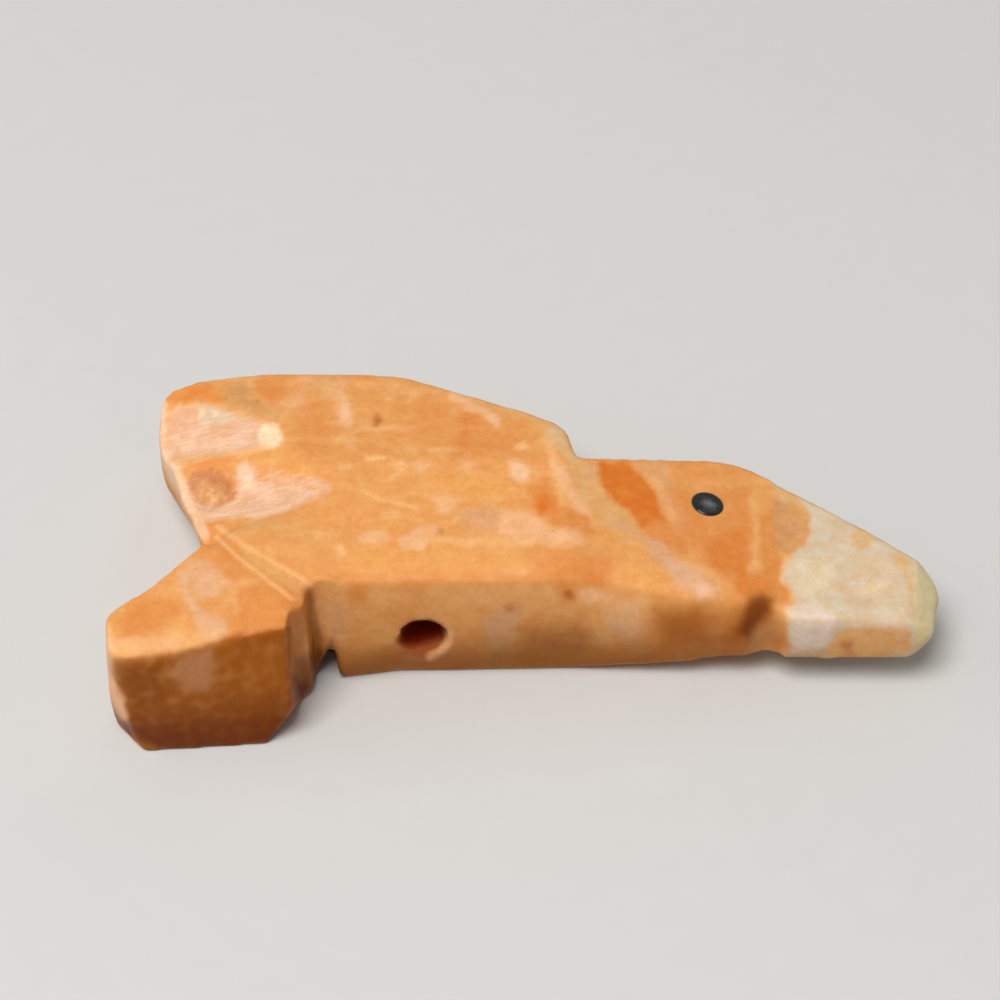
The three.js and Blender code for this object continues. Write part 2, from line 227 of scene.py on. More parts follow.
class BirdSizes(bpy.types.PropertyGroup):
    mesh_step: length_of("Mesh step", "Distance between points on the carved surface", 0.09)
    edge_softness: length_of("Edge softness", "How far hand polishing has rounded the edges", 0.10)
    front_softness: length_of("Front softness", "The same for the front of belly, head and tail", 0.30)
    rim_softness: length_of("Rim softness", "The same for the rim of the lower flute", 0.50)
    waviness: length_of("Waviness", "How far the hand-ground faces stray from flat", 0.018)
    flute_marks: length_of("Wheel marks", "Depth of the marks that the wheel left in the flutes", 0.014)
    break_depth: length_of("Break depth", "Depth of the broken hollow in the lower flute", 0.15)
    pinhole_depth: length_of("Pinhole depth", "Depth of the pinholes in the polish", 0.06)
    eye_crown: length_of("Eye crown", "Rise of each eye's crown above the head", 0.05)
    glue_line: length_of("Glue line", "Width of the dark line of glue round each eye", 0.03)


class BirdColours(bpy.types.PropertyGroup):
    peach: colour_of("Peach", "Main colour of the stone", (231, 166, 100))
    gold: colour_of("Gold", "Yellower parts of the body", (236, 172, 102))
    apricot: colour_of("Apricot", "Lighter streaks", (243, 190, 132))
    orange: colour_of("Orange", "Warmer patches", (226, 149, 82))
    ember: colour_of("Ember", "Strongest band, behind the head", (220, 124, 44))
    rust: colour_of("Rust", "Red-brown stain along cracks", (190, 104, 52))
    sorrel: colour_of("Sorrel", "Brown end of the tail", (172, 96, 20))
    # Umber is painted shade in the throat groove and at the root of the tail, and it also darkens part of
    # the tail's end face
    umber: colour_of("Umber", "Dirt in cuts and hollows", (122, 58, 4))
    tan: colour_of("Tan", "Yellowish rim of the wing", (222, 180, 126))
    grey_tan: colour_of("Grey tan", "Clouded patch on the wing", (206, 161, 110))
    olive: colour_of("Olive", "Brownish green corner of the beak's root", (204, 156, 108))
    blush: colour_of("Blush", "Pinkish white veins", (241, 190, 147))
    milk: colour_of("Milk", "Whitest front of the beak", (232, 216, 208))
    rose: colour_of("Rose", "Ground floors of the flutes", (230, 188, 160))
    shell: colour_of("Shell", "Palest rims and spots", (248, 214, 186))
    lilac: colour_of("Lilac", "Greyish pink clouds", (222, 172, 132))
    cream: colour_of("Cream", "The beak", (216, 203, 180))
    bright_cream: colour_of("Bright cream", "Brightest spots of the beak and wing", (250, 228, 192))
    pale_green: colour_of("Pale green", "Thin end of the beak", (226, 216, 172))
    bore: colour_of("Bore", "Stained wall of the stringing hole", (130, 42, 14))
    # Brown is also painted shade on the floor of the hole
    brown: colour_of("Brown", "Dirt in the break and the pinholes", (176, 112, 64))
    jet: colour_of("Jet", "The eyes", (20, 20, 21))
    glue: colour_of("Glue", "Line round the eyes", (52, 34, 20))
    floor: colour_of("Floor", "The ground that the bird lies on", (205, 203, 199))


class BirdLight(bpy.types.PropertyGroup):
    key_power: power_of("Key", "Softbox high in front, to the left", 0.91)
    side_power: power_of("Side", "Softbox low on the left", 0.16)
    back_power: power_of("Back", "Small softbox behind, which the eye mirrors", 0.035)
    room: FloatProperty(name="Room", description="Brightness of the pale room", default=0.28, min=0)


# Where each tone of the stone lies, in pixels of the camera's picture: name, tone, strength, softness of
# the rim, places and a run's half width. A mark without a width is a closed field. Later ones lie over
# earlier ones. Some marks are painted highlights or painted shade, as the notes beside them say.
MARKS = (
    ("wing field", "orange", 0.55, 11, ((288, 382), (320, 395), (335, 430), (320, 460), (290, 455),
     (300, 420))),
    ("wing back field", "orange", 0.35, 15.5, ((400, 400), (470, 405), (530, 430), (520, 455), (440, 450),
     (400, 430))),
    ("wing corner", "orange", 0.9, 4.5, ((166, 399), (180, 388), (200, 383), (215, 388), (229, 400),
     (214, 405), (190, 403))),
    ("wing corner stain", "ember", 0.45, 5.5, ((183, 395), (187, 386), (205, 385), (206, 396))),
    ("wing cloud", "grey_tan", 0.5, 4.5, ((218, 388), (232, 381), (250, 382), (253, 394), (264, 404),
     (278, 413), (255, 420), (233, 419), (220, 412), (229, 400))),
    ("wing cloud core", "grey_tan", 0.4, 3.5, ((230, 388), (240, 382), (249, 388), (247, 399),
     (236, 401))),
    ("wing yellow foot", "tan", 0.6, 4.5, ((205, 404), (225, 404), (250, 418), (275, 416), (280, 421),
     (240, 422), (212, 414))),
    ("wing ember", "orange", 0.9, 6.5, ((255, 383), (262, 378), (284, 378), (286, 398), (272, 404),
     (260, 396))),
    ("wing haze", "blush", 0.4, 9, ((306, 380), (300, 395), (287, 412)), 7),
    ("wing top tan", "tan", 0.75, 5.5, ((312, 378), (332, 377), (328, 390), (316, 388))),
    ("wing vein top", "blush", 0.65, 4.5, ((330, 386), (338, 378), (347, 381), (344, 400), (330, 399),
     (322, 393))),
    ("wing vein foot", "blush", 0.85, 4.5, ((336, 400), (346, 397), (352, 412), (349, 427), (342, 428),
     (336, 414))),
    ("wing vein light", "shell", 0.5, 4.5, ((340, 406), (347, 406), (348, 416), (341, 417))),
    ("wing knot", "rust", 0.75, 3, ((374, 416), (379, 414), (382, 422), (378, 426), (374, 422))),
    ("wing edge tan", "tan", 0.6, 4.5, ((443, 386), (460, 390), (540, 415), (541, 424), (500, 412),
     (455, 399))),
    ("wing back run", "blush", 0.9, 4, ((452, 396), (470, 405), (484, 412), (499, 423)), 4),
    ("wing back ember", "ember", 0.5, 5.5, ((461, 411), (474, 415), (478, 424), (464, 424))),
    ("wing back stain", "ember", 0.45, 6.5, ((464, 428), (462, 445)), 4),
    ("wing low stain", "orange", 0.6, 4.5, ((462, 446), (478, 450), (502, 446)), 3.5),
    ("rim", "tan", 1, 5.5, ((535, 420), (560, 427), (570, 442), (578, 459), (571, 470), (560, 452),
     (548, 440))),
    ("rim grey", "cream", 0.45, 4.5, ((550, 428), (562, 431), (569, 444), (560, 445))),
    ("rim foot", "tan", 0.7, 5.5, ((566, 468), (578, 462), (590, 480), (592, 500), (584, 505),
     (572, 488))),
    ("rim light", "apricot", 0.8, 4.5, ((545, 436), (552, 440), (558, 462), (553, 468), (547, 452))),
    ("shoulder vein", "blush", 0.9, 4, ((556, 465), (562, 482), (573, 498), (584, 513), (592, 526)), 5),
    ("shoulder light", "apricot", 0.7, 4.5, ((557, 485), (565, 490), (566, 507), (560, 508), (556, 497))),
    ("yellow spot", "apricot", 0.95, 3, ((513, 443), (526, 440), (530, 446), (520, 451), (514, 450))),
    ("white spot", "shell", 0.85, 4.5, ((508, 464), (519, 461), (527, 468), (528, 478), (519, 483),
     (509, 478))),
    ("small blush", "blush", 0.5, 5.5, ((459, 458), (470, 454), (475, 464), (468, 470), (459, 466))),
    ("dash one", "apricot", 1, 2.5, ((366, 456), (380, 454), (387, 458), (384, 461), (370, 461))),
    ("dash two", "apricot", 0.9, 2.5, ((392, 464), (404, 461), (411, 465), (408, 470), (396, 470))),
    ("dash three", "blush", 0.7, 3, ((412, 462), (425, 461), (429, 467), (424, 474), (412, 471))),
    ("dash four", "blush", 0.7, 2.5, ((337, 465), (350, 463), (353, 468), (340, 470))),
    ("dash five", "blush", 0.5, 3.5, ((344, 443), (355, 440), (358, 449), (348, 451))),
    ("flute top rim", "shell", 0.55, 4.5, ((170, 412), (182, 407), (198, 407), (203, 414)), 3),
    ("flute floor", "rose", 0.9, 4, ((168, 420), (180, 410), (200, 406), (228, 414), (262, 424),
     (272, 446), (238, 451), (214, 456), (186, 459), (171, 456))),
    ("flute lilac", "lilac", 0.5, 5.5, ((200, 428), (226, 422), (256, 420), (258, 426), (232, 431),
     (214, 438), (201, 437))),
    ("flute yellow", "cream", 0.7, 4.5, ((200, 405), (214, 409), (240, 418), (226, 424), (206, 426),
     (200, 416))),
    ("flute rose", "lilac", 0.45, 5.5, ((176, 414), (196, 410), (200, 425), (186, 430), (176, 426))),
    ("flute light", "shell", 0.7, 4.5, ((176, 440), (196, 437), (198, 450), (182, 452))),
    ("flute light run", "shell", 0.5, 4.5, ((205, 446), (228, 446), (246, 436)), 3.5),
    ("flute dot", "bright_cream", 0.9, 2.5, ((199, 411), (203, 410), (205, 415), (201, 418))),
    ("flute dot two", "bright_cream", 0.7, 2.5, ((212, 411), (217, 412), (218, 416), (213, 416))),
    ("flute spot", "bright_cream", 1, 3.5, ((257, 433), (263, 425), (274, 423), (282, 432), (281, 443),
     (272, 448), (260, 448))),
    ("flute lower run", "apricot", 0.85, 3, ((176, 461), (205, 457), (236, 453), (262, 448)), 3.5),
    ("ridge", "orange", 0.8, 3.5, ((186, 466), (205, 461), (222, 456), (236, 456), (233, 464), (214, 466),
     (196, 472))),
    ("second floor", "rose", 0.9, 4, ((196, 512), (188, 500), (210, 505), (236, 498), (238, 464),
     (246, 460), (262, 480), (300, 484), (314, 494), (298, 508), (262, 516), (206, 518))),
    ("second top run", "orange", 0.5, 4.5, ((246, 474), (272, 479), (296, 482)), 2.5),
    ("second light", "shell", 0.75, 3.5, ((238, 466), (245, 463), (256, 480), (257, 491), (240, 491))),
    ("second glow", "shell", 0.55, 4.5, ((262, 489), (274, 486), (276, 500), (264, 503))),
    ("second end", "rose", 0.7, 4, ((272, 477), (296, 480), (318, 484), (328, 490)), 3.5),
    ("second end foot", "rose", 0.5, 5.5, ((288, 500), (306, 499), (322, 494)), 3.5),
    ("second lower run", "shell", 0.55, 3, ((198, 517), (228, 516), (262, 515), (290, 508)), 2.5),
    ("pit", "lilac", 0.6, 3.5, ((187, 480), (194, 473), (207, 470), (219, 476), (231, 480), (236, 492),
     (232, 500), (222, 508), (205, 504), (191, 497))),
    ("pit brown", "rust", 0.6, 3, ((191, 488), (194, 478), (206, 474), (218, 480), (230, 484),
     (231, 496)), 4),
    ("pit light", "apricot", 0.9, 3, ((203, 487), (213, 485), (215, 497), (222, 503), (206, 501))),
    ("pit halo", "orange", 0.35, 5.5, ((187, 468), (204, 466), (226, 470), (236, 480)), 4),
    # Painted highlight along the left border of the wing's tip
    ("tip border", "shell", 0.8, 3.5, ((162, 404), (161, 430), (163, 448), (172, 470), (182, 490),
     (192, 508), (204, 534)), 5.5),
    ("tip foot blush", "blush", 0.7, 3.5, ((192, 510), (204, 512), (206, 524), (206, 540), (200, 538))),
    ("body gold", "gold", 0.8, 13, ((355, 545), (500, 548), (520, 560), (500, 575), (350, 575),
     (340, 560))),
    ("body gold mid", "gold", 0.8, 11, ((425, 478), (500, 475), (520, 490), (505, 505), (450, 500),
     (428, 492))),
    ("body tan", "tan", 0.25, 13, ((230, 520), (300, 520), (330, 535), (300, 545), (240, 530))),
    ("body ember", "orange", 1, 5.5, ((527, 484), (545, 477), (553, 495), (566, 510), (590, 518),
     (598, 534), (584, 541), (560, 527), (538, 513), (529, 500))),
    ("body ember core", "ember", 0.6, 4.5, ((533, 494), (545, 494), (554, 505), (560, 513), (545, 512),
     (535, 505))),
    ("body ember heart", "ember", 0.9, 3, ((536, 504), (543, 503), (547, 509), (541, 512))),
    ("body blush", "blush", 0.7, 4, ((425, 496), (447, 494), (462, 497), (449, 512), (440, 514),
     (434, 504))),
    ("body lilac", "lilac", 0.75, 6.5, ((452, 512), (478, 505), (498, 507), (506, 516), (500, 527),
     (478, 531), (462, 522))),
    ("body blush cloud", "blush", 0.75, 5.5, ((500, 511), (530, 512), (552, 526), (580, 531), (584, 545),
     (556, 549), (520, 541), (498, 534))),
    ("body band left", "blush", 0.75, 3, ((356, 538), (370, 531), (388, 533), (394, 539), (376, 544),
     (358, 543))),
    ("body band mid", "blush", 0.8, 3, ((396, 540), (410, 530), (435, 526), (438, 531), (424, 548),
     (406, 549))),
    ("body band right", "apricot", 0.75, 4.5, ((434, 540), (460, 540), (500, 541), (530, 545)), 3.5),
    ("body fine line", "apricot", 0.65, 2.5, ((362, 490), (382, 498), (400, 505), (416, 509)), 2),
    ("body fine spot", "apricot", 0.8, 2, ((406, 505), (416, 508), (415, 511), (404, 508))),
    ("body knot", "apricot", 0.85, 3.5, ((334, 547), (342, 546), (344, 556), (337, 557))),
    ("body dark knot", "brown", 0.45, 2.5, ((437, 529), (444, 529), (444, 533), (438, 533))),
    ("body edge ember", "ember", 0.4, 6.5, ((395, 573), (420, 575), (440, 580), (420, 586), (398, 582))),
    ("breast field", "orange", 0.85, 9, ((530, 556), (600, 552), (618, 565), (600, 585), (550, 580))),
    ("breast ember", "ember", 0.5, 6, ((578, 572), (600, 574), (602, 586), (586, 586))),
    ("neck gold", "tan", 0.55, 5.5, ((578, 464), (596, 464), (602, 490), (612, 500), (642, 528),
     (630, 534), (604, 528), (590, 505))),
    ("neck lilac", "lilac", 0.5, 4.5, ((582, 464), (596, 463), (598, 482), (588, 482))),
    ("neck band", "ember", 1, 3.5, ((598, 461), (624, 461), (640, 474), (654, 490), (660, 506),
     (668, 522), (656, 530), (642, 527), (626, 509), (606, 493), (600, 478))),
    ("neck band foot", "orange", 1, 4.5, ((656, 520), (668, 522), (680, 540), (690, 554), (676, 554),
     (652, 542), (646, 528))),
    ("nape haze", "lilac", 0.45, 5.5, ((634, 462), (660, 462), (664, 478), (650, 480), (638, 470))),
    ("nape run", "lilac", 0.55, 5.5, ((660, 466), (668, 485), (676, 508), (686, 532)), 5),
    ("nape blush", "blush", 0.45, 4.5, ((654, 476), (664, 492), (672, 512)), 2),
    ("lower cheek", "gold", 0.85, 6.5, ((616, 548), (655, 548), (668, 566), (672, 590), (640, 596),
     (618, 580))),
    ("crown", "orange", 0.45, 9, ((672, 462), (730, 462), (752, 474), (735, 486), (690, 484))),
    ("face", "orange", 0.8, 6.5, ((670, 488), (750, 488), (756, 540), (748, 576), (724, 572), (700, 560),
     (684, 540))),
    ("face glow", "ember", 0.5, 6.5, ((704, 545), (744, 528), (750, 560), (742, 590), (724, 580),
     (712, 566))),
    ("face streak", "apricot", 0.45, 5.5, ((754, 500), (757, 530), (753, 570)), 4),
    ("lore", "orange", 0.95, 4.5, ((760, 515), (774, 510), (778, 545), (782, 575), (790, 594), (784, 606),
     (768, 596), (760, 560))),
    ("lore stain", "ember", 0.55, 6, ((735, 575), (768, 570), (772, 590), (755, 600), (738, 594))),
    ("cheek vein", "lilac", 0.75, 4, ((612, 520), (630, 531), (645, 540), (660, 551)), 4.5),
    ("cheek vein mid", "lilac", 0.9, 4.5, ((655, 549), (668, 560), (680, 572)), 8),
    ("cheek vein foot", "rose", 0.55, 6, ((668, 562), (700, 570), (716, 584), (722, 598), (700, 602),
     (684, 594), (674, 578))),
    ("cheek vein light", "shell", 0.6, 4.5, ((692, 584), (708, 584), (712, 596), (698, 599))),
    ("olive root", "olive", 0.7, 4.5, ((772, 500), (786, 493), (800, 503), (810, 520), (811, 533),
     (800, 549), (786, 556), (774, 540))),
    ("olive top", "tan", 0.9, 4.5, ((772, 484), (786, 486), (802, 498), (812, 512), (806, 520),
     (792, 502), (776, 498))),
    ("beak", "cream", 1, 3, ((801, 497), (845, 515), (905, 548), (945, 580), (945, 665), (905, 660),
     (793, 662), (789, 640), (788, 622), (792, 612), (794, 600), (791, 590), (782, 580), (783, 565),
     (793, 554), (803, 546), (812, 532), (811, 516))),
    ("beak edge glow", "apricot", 0.7, 4, ((788, 558), (782, 570), (786, 585), (793, 597)), 2.5),
    ("beak light", "bright_cream", 0.3, 11, ((790, 562), (815, 560), (840, 562), (835, 585), (805, 598),
     (788, 580))),
    ("beak rose", "blush", 0.2, 9, ((850, 550), (895, 560), (905, 600), (880, 612), (856, 590))),
    ("beak shade one", "grey_tan", 0.3, 5.5, ((832, 520), (846, 523), (844, 540), (834, 538))),
    ("beak shade two", "grey_tan", 0.25, 5.5, ((838, 566), (848, 568), (843, 590), (834, 586))),
    ("beak shade three", "grey_tan", 0.3, 5.5, ((852, 602), (872, 600), (874, 607), (856, 614))),
    ("beak light three", "bright_cream", 0.4, 4.5, ((864, 583), (882, 585), (878, 594), (864, 596))),
    # Painted glint on the corner of the beak
    ("beak corner light", "shell", 0.8, 3.5, ((893, 612), (903, 610), (904, 622), (894, 625))),
    ("beak yellow one", "tan", 0.8, 4, ((849, 538), (858, 527), (884, 539), (866, 548), (852, 547))),
    ("beak yellow two", "tan", 0.85, 4, ((892, 556), (906, 553), (912, 566), (898, 568))),
    ("beak yellow run", "tan", 0.75, 5.5, ((906, 564), (911, 585), (912, 600), (908, 616)), 4),
    ("beak end", "pale_green", 0.85, 4, ((917, 570), (930, 574), (945, 590), (945, 650), (915, 640),
     (914, 600))),
    ("tail field", "orange", 0.75, 6.5, ((240, 585), (300, 578), (300, 612), (286, 628), (240, 632),
     (232, 610))),
    ("tail upper field", "orange", 0.75, 5.5, ((198, 548), (222, 534), (250, 560), (232, 590), (222, 572),
     (204, 560))),
    ("tail ember", "orange", 0.85, 5.5, ((124, 606), (150, 598), (178, 600), (180, 616), (160, 630),
     (124, 638))),
    ("tail blush", "rose", 0.55, 5.5, ((186, 560), (206, 562), (220, 572), (223, 586), (215, 600),
     (197, 597), (188, 580))),
    ("tail vein", "rose", 0.75, 4.5, ((182, 574), (184, 594), (192, 607), (206, 619), (222, 627)), 4.5),
    ("tail vein foot", "rose", 0.7, 4.5, ((196, 618), (222, 620), (228, 632), (206, 640), (198, 632))),
    ("tail ring", "blush", 0.4, 4.5, ((224, 578), (234, 592), (238, 612)), 2.5),
    ("tail gold", "gold", 0.8, 4.5, ((172, 622), (190, 620), (198, 636), (196, 648), (178, 650))),
    ("tail band", "blush", 0.75, 5.5, ((112, 644), (140, 644), (174, 640)), 6),
    # Painted highlight on the lit left rim of the tail
    ("tail far light", "blush", 0.6, 4.5, ((107, 626), (106, 650), (108, 690)), 4),
    # Painted shade on the step wall of the notch
    ("notch wall", "orange", 0.9, 3, ((206, 524), (224, 521), (216, 534), (208, 543))),
    ("tail end", "sorrel", 1, 4.5, ((104, 656), (118, 657), (177, 651), (215, 640), (240, 633),
     (262, 630), (287, 629), (289, 664), (308, 690), (296, 704), (268, 746), (200, 760), (125, 735),
     (100, 690))),
    ("tail end red", "umber", 0.3, 9, ((118, 672), (160, 665), (166, 700), (130, 706))),
    # Painted highlight: a lighter band along the top of the tail's end face
    ("tail end glow", "apricot", 0.7, 13, ((106, 652), (140, 649), (178, 641), (212, 632)), 6.5),
    # Painted shade in the crease, strip and gap at the root of the tail
    ("root strip", "sorrel", 0.4, 3.5, ((292, 610), (306, 602), (306, 664), (293, 666))),
    ("root crease", "sorrel", 0.7, 5, ((309, 592), (311, 622), (316, 654)), 4),
    ("root shade", "umber", 0.5, 6.5, ((293, 656), (326, 652), (330, 690), (300, 696))),
    ("root gap", "umber", 1, 3.5, ((333, 636), (344, 682), (322, 690), (320, 664))),
    ("belly grey", "lilac", 0.45, 9, ((320, 603), (345, 596), (348, 640), (330, 650))),
    ("belly ember", "ember", 0.4, 6.5, ((350, 582), (366, 582), (368, 605), (352, 606))),
    ("belly stain", "orange", 0.4, 9, ((400, 580), (425, 580), (424, 600), (404, 600))),
    ("belly streak", "lilac", 0.85, 5.5, ((484, 618), (500, 610), (524, 606), (514, 632), (508, 662),
     (488, 662))),
    ("belly yellow", "apricot", 0.5, 4.5, ((522, 608), (538, 606), (536, 616), (524, 617))),
    # Painted highlight on the belly below its upper edge
    ("belly glow", "apricot", 0.45, 9, ((440, 590), (480, 588), (550, 586), (556, 602), (500, 604),
     (450, 606))),
    # Painted shade on the lower belly
    ("belly shade", "sorrel", 0.6, 13, ((520, 628), (580, 622), (596, 638), (580, 652), (522, 652))),
    ("belly brown fleck", "brown", 0.6, 3, ((505, 605), (513, 604), (512, 610), (506, 610))),
    ("pock halo", "ember", 0.5, 6.5, ((558, 582), (576, 580), (580, 600), (562, 604))),
    ("pock", "rust", 0.85, 2.5, ((564, 593), (570, 591), (573, 598), (567, 600))),
    ("pock light", "blush", 0.8, 4, ((576, 592), (592, 588), (600, 598), (588, 606), (577, 603))),
    ("breast run", "blush", 0.6, 9, ((598, 592), (640, 600), (642, 640), (622, 636), (606, 624))),
    ("breast foot run", "lilac", 0.65, 6.5, ((612, 622), (632, 640), (640, 658)), 5),
    ("breast rust", "sorrel", 0.7, 13, ((656, 612), (700, 608), (706, 640), (668, 644))),
    ("beak pale front", "cream", 1, 6, ((788, 612), (910, 612), (912, 640), (905, 662), (792, 662))),
    ("beak milk", "milk", 0.8, 7, ((788, 606), (815, 602), (836, 618), (828, 642), (812, 654),
     (790, 654))),
    ("beak ember", "gold", 0.85, 5, ((826, 652), (836, 632), (848, 626), (884, 628), (908, 629),
     (912, 642), (905, 652), (880, 660), (836, 660))),
    ("beak stain", "rust", 0.6, 5.5, ((840, 642), (852, 640), (852, 655), (842, 656))),
    ("beak foot", "olive", 0.6, 4.5, ((786, 648), (828, 648), (828, 662), (786, 662))),
    ("tail end blush", "lilac", 0.4, 6.5, ((176, 660), (190, 652), (214, 648), (218, 668), (208, 690),
     (184, 690), (170, 676))),
    # Painted highlight on the lit left rim of the tail
    ("tail left light", "blush", 0.85, 4.5, ((106, 670), (116, 680), (126, 700), (126, 722), (112, 712),
     (106, 690))),
)

# Marks that cutting and drilling left, the stain in the bore, painted shade in the throat, at the root of
# the tail, on the breast and in the hole, and painted highlights and shade along some edges, which run
# straight, in the same way
TOOL_MARKS = (
    ("saw line one", "apricot", 0.8, 2, ((218, 527), (245, 546), (275, 563), (304, 580)), 2.5),
    ("saw line two", "apricot", 0.85, 1.5, ((216, 537), (240, 559), (266, 579), (292, 599)), 2),
    ("saw land", "tan", 0.45, 2.5, ((235, 545), (300, 584), (300, 596), (262, 570))),
    # Painted shade in the crease beside the tail's end face
    ("root line", "sorrel", 0.8, 2, ((289, 628), (289, 666)), 2.5),
    # Painted shade that dims the highlight along the belly's upper edge
    ("belly edge", "orange", 0.7, 5, ((322, 578), (400, 577), (470, 576), (548, 577)), 2.5),
    # Painted shade on the lower breast
    ("breast shade", "sorrel", 0.7, 20, ((658, 614), (740, 608), (744, 652), (662, 656))),
    # Painted highlight on the lit left rim of the tail
    ("tail side light", "blush", 0.75, 4, ((109, 642), (108, 668), (112, 694), (124, 716)), 4),
    # Painted shade that dims the highlight along the beak's upper front edge
    ("beak edge", "lilac", 0.4, 4, ((790, 621), (840, 620), (906, 621)), 2),
    # Throat, throat core and throat stain are painted shade in the throat groove; throat foot and throat
    # red are colours at its foot
    ("throat", "sorrel", 0.9, 11, ((747, 597), (762, 592), (774, 598), (777, 611), (768, 622), (758, 632),
     (748, 642), (736, 648), (726, 640), (730, 626), (740, 614))),
    ("throat core", "umber", 0.85, 6.5, ((750, 600), (762, 595), (771, 600), (770, 613), (757, 624),
     (749, 638), (737, 634), (743, 616))),
    ("throat foot", "grey_tan", 0.6, 6, ((754, 636), (770, 624), (780, 640), (770, 652), (750, 654))),
    ("throat red", "rust", 0.5, 6, ((772, 632), (786, 634), (794, 648), (776, 650))),
    ("throat stain", "sorrel", 0.5, 9, ((764, 616), (782, 618), (786, 650), (752, 652), (756, 634))),
    ("bore", "bore", 1, 2.5, ((399, 642), (402, 629), (412, 621), (430, 619), (442, 624), (445, 636),
     (438, 649), (420, 657), (404, 653))),
    # Painted shade on the floor of the hole's mouth
    ("bore floor", "brown", 0.55, 5, ((398, 644), (412, 646), (426, 642), (440, 636), (444, 646),
     (432, 657), (414, 660), (400, 654))),
    # Painted highlight on the lit inner rim of the hole
    ("hole lip", "blush", 0.75, 4, ((449, 632), (449, 642), (442, 651), (430, 657)), 3),
)


# Small mesh helpers


def smooth_step(low, high, value):
    """0 below low, 1 above high and a soft ramp between, either way round."""
    share = np.clip((value - low) / (high - low), 0, 1)
    return share * share * (3 - 2 * share)


def rows_of(mesh, value):
    """A value of each corner of a mesh, in rows of x, y and z."""
    flat = np.zeros(len(mesh.vertices) * 3, np.float32)
    mesh.vertices.foreach_get(value, flat)
    return flat.reshape(-1, 3).astype(float)


def set_points(mesh, points):
    """Moves the corners of a mesh."""
    mesh.vertices.foreach_set("co", points.astype(np.float32).ravel())
    mesh.update()


def mesh_of(work, name):
    """A mesh made from a bmesh, which is freed."""
    mesh = bpy.data.meshes.new(name)
    work.to_mesh(mesh)
    work.free()
    return mesh


def show(name, mesh):
    """A new object that holds a mesh, in the scene."""
    piece = bpy.data.objects.new(name, mesh)
    bpy.context.scene.collection.objects.link(piece)
    return piece


def settle(piece):
    """Works the piece's modifiers into its mesh, and takes them off."""
    ready = piece.evaluated_get(bpy.context.evaluated_depsgraph_get())
    mesh = bpy.data.meshes.new_from_object(ready)
    piece.modifiers.clear()
    old = piece.data
    piece.data = mesh
    bpy.data.meshes.remove(old)


def distance_from(points, place):
    """Distance of points from a place."""
    return np.linalg.norm(points - np.array(place), axis=1)


def neighbour_mean(points, pairs, counts):
    """The mean place of each point's neighbours."""
    ends = np.concatenate([pairs[:, 0], pairs[:, 1]])
    others = np.concatenate([pairs[:, 1], pairs[:, 0]])
    sums = [np.bincount(ends, points[others, axis], len(points)) for axis in range(3)]
    return np.stack(sums, 1) / counts[:, None]


def soften(mesh, steps, hold):
    """Rounds the edges of a mesh over a reach of some mesh steps, less where hold is near 1."""
    pairs = np.zeros(len(mesh.edges) * 2, np.int32)
    mesh.edges.foreach_get("vertices", pairs)
    pairs = pairs.reshape(-1, 2)
    counts = np.maximum(np.bincount(pairs.ravel(), minlength=len(mesh.vertices)), 1)
    points = rows_of(mesh, "co")
    free = SOFTEN_SHARE * (1 - hold(points))[:, None]
    for _ in range(max(1, round(2 * steps**2 / SOFTEN_SHARE))):
        points += free * (neighbour_mean(points, pairs, counts) - points)
    set_points(mesh, points)


def ripple(points, scale, seed):
    """Smooth noise from -1 to 1 at each point."""
    shift = Vector([seed * step for step in SEED_STEP])
    return np.array([noise.noise(Vector(p) * scale + shift) for p in points])


# The stone


def eye_seat(node):
    """Middle of the crown, outward direction and radius of an inlay, in millimetres."""
    points = rows_of(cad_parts[node].data, "co") / MM
    middle = points.mean(0)
    spreads, directions = np.linalg.eigh(np.cov((points - middle).T))
    odd = 0 if spreads[1] - spreads[0] > spreads[2] - spreads[1] else 2
    outward = directions[:, odd]
    if outward[2] * (middle[2] - MIDDLE) < 0:
        outward = -outward
    along = (points - middle) @ outward
    across = np.linalg.norm((points - middle) - np.outer(along, outward), axis=1)
    return Vector(middle + outward * along.max()), Vector(outward), float(across.max())


def peg(work, centre, outward, radius, bottom, top, sides):
    """Adds a closed round peg to a bmesh, between two heights along its own direction."""
    turn = Vector((0, 0, 1)).rotation_difference(outward).to_matrix().to_4x4()
    place = Matrix.Translation(centre + outward * (bottom + top) / 2) @ turn
    bmesh.ops.create_cone(
        work, cap_ends=True, segments=sides, radius1=radius, radius2=radius,
        depth=top - bottom, matrix=place,
    )


def rough_stone(sizes):
    """The CAD stone in millimetres with its eye sockets plugged, as one evenly meshed skin."""
    work = bmesh.new()
    work.from_mesh(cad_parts[STONE_NODE].data)
    bmesh.ops.scale(work, vec=(1 / MM, 1 / MM, 1 / MM), verts=work.verts)
    bmesh.ops.remove_doubles(work, verts=work.verts, dist=JOIN_GAP)
    for node in EYE_NODES:
        centre, outward, radius = eye_seat(node)
        peg(work, centre, outward, radius + PLUG_OVERLAP, -PLUG_DEPTH, -sizes.eye_crown / MM, PLUG_SIDES)
    stone = show("bird_stone", mesh_of(work, STONE_NODE))
    skin = stone.modifiers.new("Skin", "REMESH")
    skin.mode = "VOXEL"
    skin.voxel_size = sizes.mesh_step / MM
    settle(stone)
    return stone


def plane_height(places, points):
    """Height above the mid-plane, over each point, of the plane through three places."""
    first, second, third = (np.array(place, float) for place in places)
    normal = np.cross(second - first, third - first)
    flat = (points[:, :2] - first[:2]) @ normal[:2]
    return first[2] - flat / normal[2]


def along_and_across(points, start, end):
    """How far points lie along a line on the side view and beside it, and the line's length."""
    start, end = np.array(start), np.array(end)
    reach = np.linalg.norm(end - start)
    heading = (end - start) / reach
    gap = points[:, :2] - start
    return gap @ heading, gap @ np.array((-heading[1], heading[0])), reach


